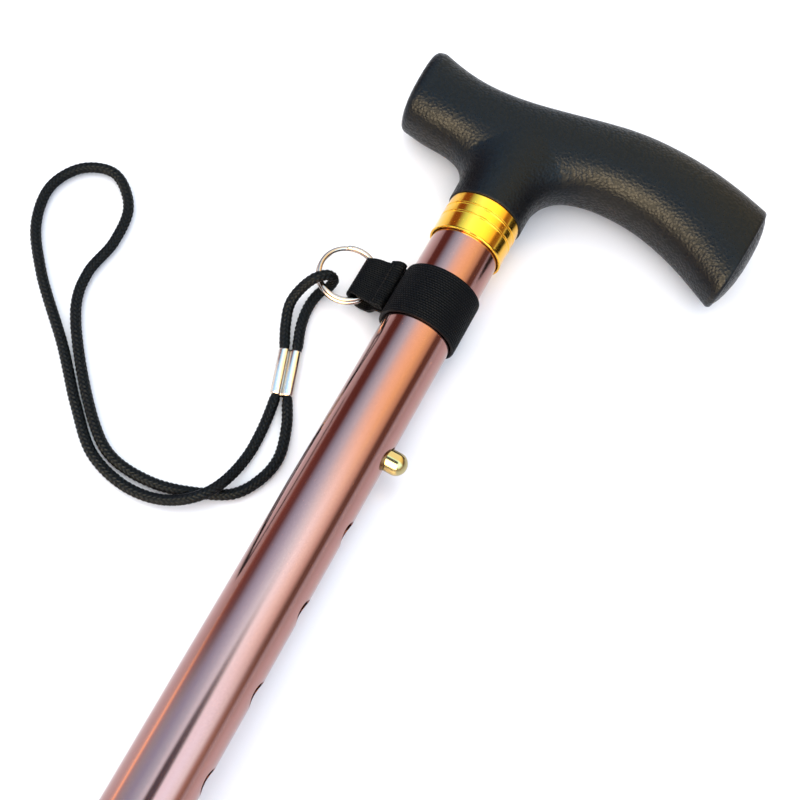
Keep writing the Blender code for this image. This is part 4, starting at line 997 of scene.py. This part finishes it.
WARM = [(-90, (0.5, 0.3, 0.3)), (-84, (0.27, 0.1, 0.08)), (-64, (0.27, 0.1, 0.08)), (-45, (0.84, 1.3, 1.75)),
        (-25, (1.5, 2.1, 2.5)), (-5, (2.4, 2.2, 1.8)), (15, (2.8, 2.2, 1.3)), (36, (2.5, 1.9, 0.9)),
        (56, (1.4, 1.0, 0.6)), (64, (0.3, 0.15, 0.1)), (80, (0.35, 0.2, 0.15)), (86, TABLE_SIDE)]
# Each pair is where a fade starts and ends: a part of the unit direction along the room, across it or up,
# and for the gap the distance from its middle.
COOL_START, WARM_START = (0.07, 0.18), (0.24, 0.36)
FAR_WALL, FAR_WALL_START = (0.085, 0.08, 0.08, 1), (-0.56, -0.7)
GAP, GAP_MIDDLE, GAP_EDGE = (0.02, 0.022, 0.03, 1), (0.05, -0.06, 1.0), (0.27, 0.16)
WINDOW, WINDOW_SIDES, WINDOW_START, WINDOW_SILL = (2.5, 1.7, 0.95, 1), (0.5, 0.3), (-0.3, -0.5), (0.2, 0.4)
world = bpy.data.worlds.new("studio")
bpy.context.scene.world = world
world.use_nodes = True
world.cycles.sampling_method = "NONE"
tree = world.node_tree


def mixed(tree, factor, first, second, blend="MIX"):
    """Two colours mixed by a factor; each may be a socket or a colour."""
    made = node(tree, "ShaderNodeMix", {0: factor, 6: first, 7: second}, data_type="RGBA", blend_type=blend)
    return made.outputs[2]


def fade(tree, value, start, end):
    """0 where the value is at start and 1 where it is at end, smooth between."""
    inputs = {"Value": value, "From Min": start, "From Max": end}
    return node(tree, "ShaderNodeMapRange", inputs, interpolation_type="SMOOTHSTEP").outputs["Result"]


def stripes(tree, angle, stops):
    """A ramp over the angle from straight up, in degrees: (angle, (red, green, blue) brightness)."""
    return ramp(tree, angle, [(0.5 + at / 360, [c / STRENGTH for c in colour]) for at, colour in stops])


direction = node(tree, "ShaderNodeTexCoord").outputs["Generated"]
along_x, along_y, up = node(tree, "ShaderNodeSeparateXYZ", {"Vector": direction}).outputs
turn = math_node(tree, "ARCTAN2", along_x, up)
whole_turn = {"Value": turn, "From Min": -math.pi, "From Max": math.pi}
angle = node(tree, "ShaderNodeMapRange", whole_turn).outputs["Result"]
room = mixed(tree, fade(tree, along_y, *COOL_START), stripes(tree, angle, LOW), stripes(tree, angle, COOL))
room = mixed(tree, fade(tree, along_y, *WARM_START), room, stripes(tree, angle, WARM))
room = mixed(tree, fade(tree, along_y, *FAR_WALL_START), room, FAR_WALL)
gap = node(tree, "ShaderNodeVectorMath", {0: direction, 1: GAP_MIDDLE}, operation="DISTANCE").outputs["Value"]
room = mixed(tree, fade(tree, gap, *GAP_EDGE), room, GAP)
wide = fade(tree, math_node(tree, "ABSOLUTE", along_x), *WINDOW_SIDES)
window = math_node(tree, "MULTIPLY", wide, fade(tree, along_y, *WINDOW_START))
window = math_node(tree, "MULTIPLY", window, fade(tree, up, *WINDOW_SILL))
room = mixed(tree, window, room, WINDOW)
print("room:", len(LOW) + len(COOL) + len(WARM), "stops in three ramps")

# %% [markdown]
# Matt pieces and the table only need an even light: a bluish sky and a big soft lamp on the left, so that
# shadows fall to the right and are faintly blue. What the camera sees beyond the table is a plain pale
# grey. Each kind of ray gets its own light through the Light Path node, so the world isn't sampled as a
# lamp.

# %% The even light
SKY = (0.66, 0.8, 1.06)
LAMP = (1.55, 1.38, 1.15)
LAMP_FROM = Vector((-0.5, -0.3, 0.81)).normalized()
LAMP_EDGE = (0.0, 0.85)  # cosines of the angle from the lamp's middle
BACKDROP = (0.096, 0.096, 0.098, 1)
near_lamp = node(tree, "ShaderNodeVectorMath", {0: direction, 1: LAMP_FROM}, operation="DOT_PRODUCT")
lamp_light = [c / STRENGTH for c in LAMP] + [1]
lamp = mixed(tree, fade(tree, near_lamp.outputs["Value"], *LAMP_EDGE), (0, 0, 0, 1), lamp_light)
even = mixed(tree, 1.0, [c / STRENGTH for c in SKY] + [1], lamp, blend="ADD")
rays = node(tree, "ShaderNodeLightPath").outputs
lit = mixed(tree, rays["Is Glossy Ray"], even, room)
seen = mixed(tree, rays["Is Camera Ray"], lit, BACKDROP)
background = tree.nodes["Background"]
background.inputs["Strength"].default_value = STRENGTH
tree.links.new(seen, background.inputs["Color"])
bpy.context.scene.view_settings.view_transform = "Standard"
print("light: a blue sky", SKY, "and a lamp on the left", LAMP)
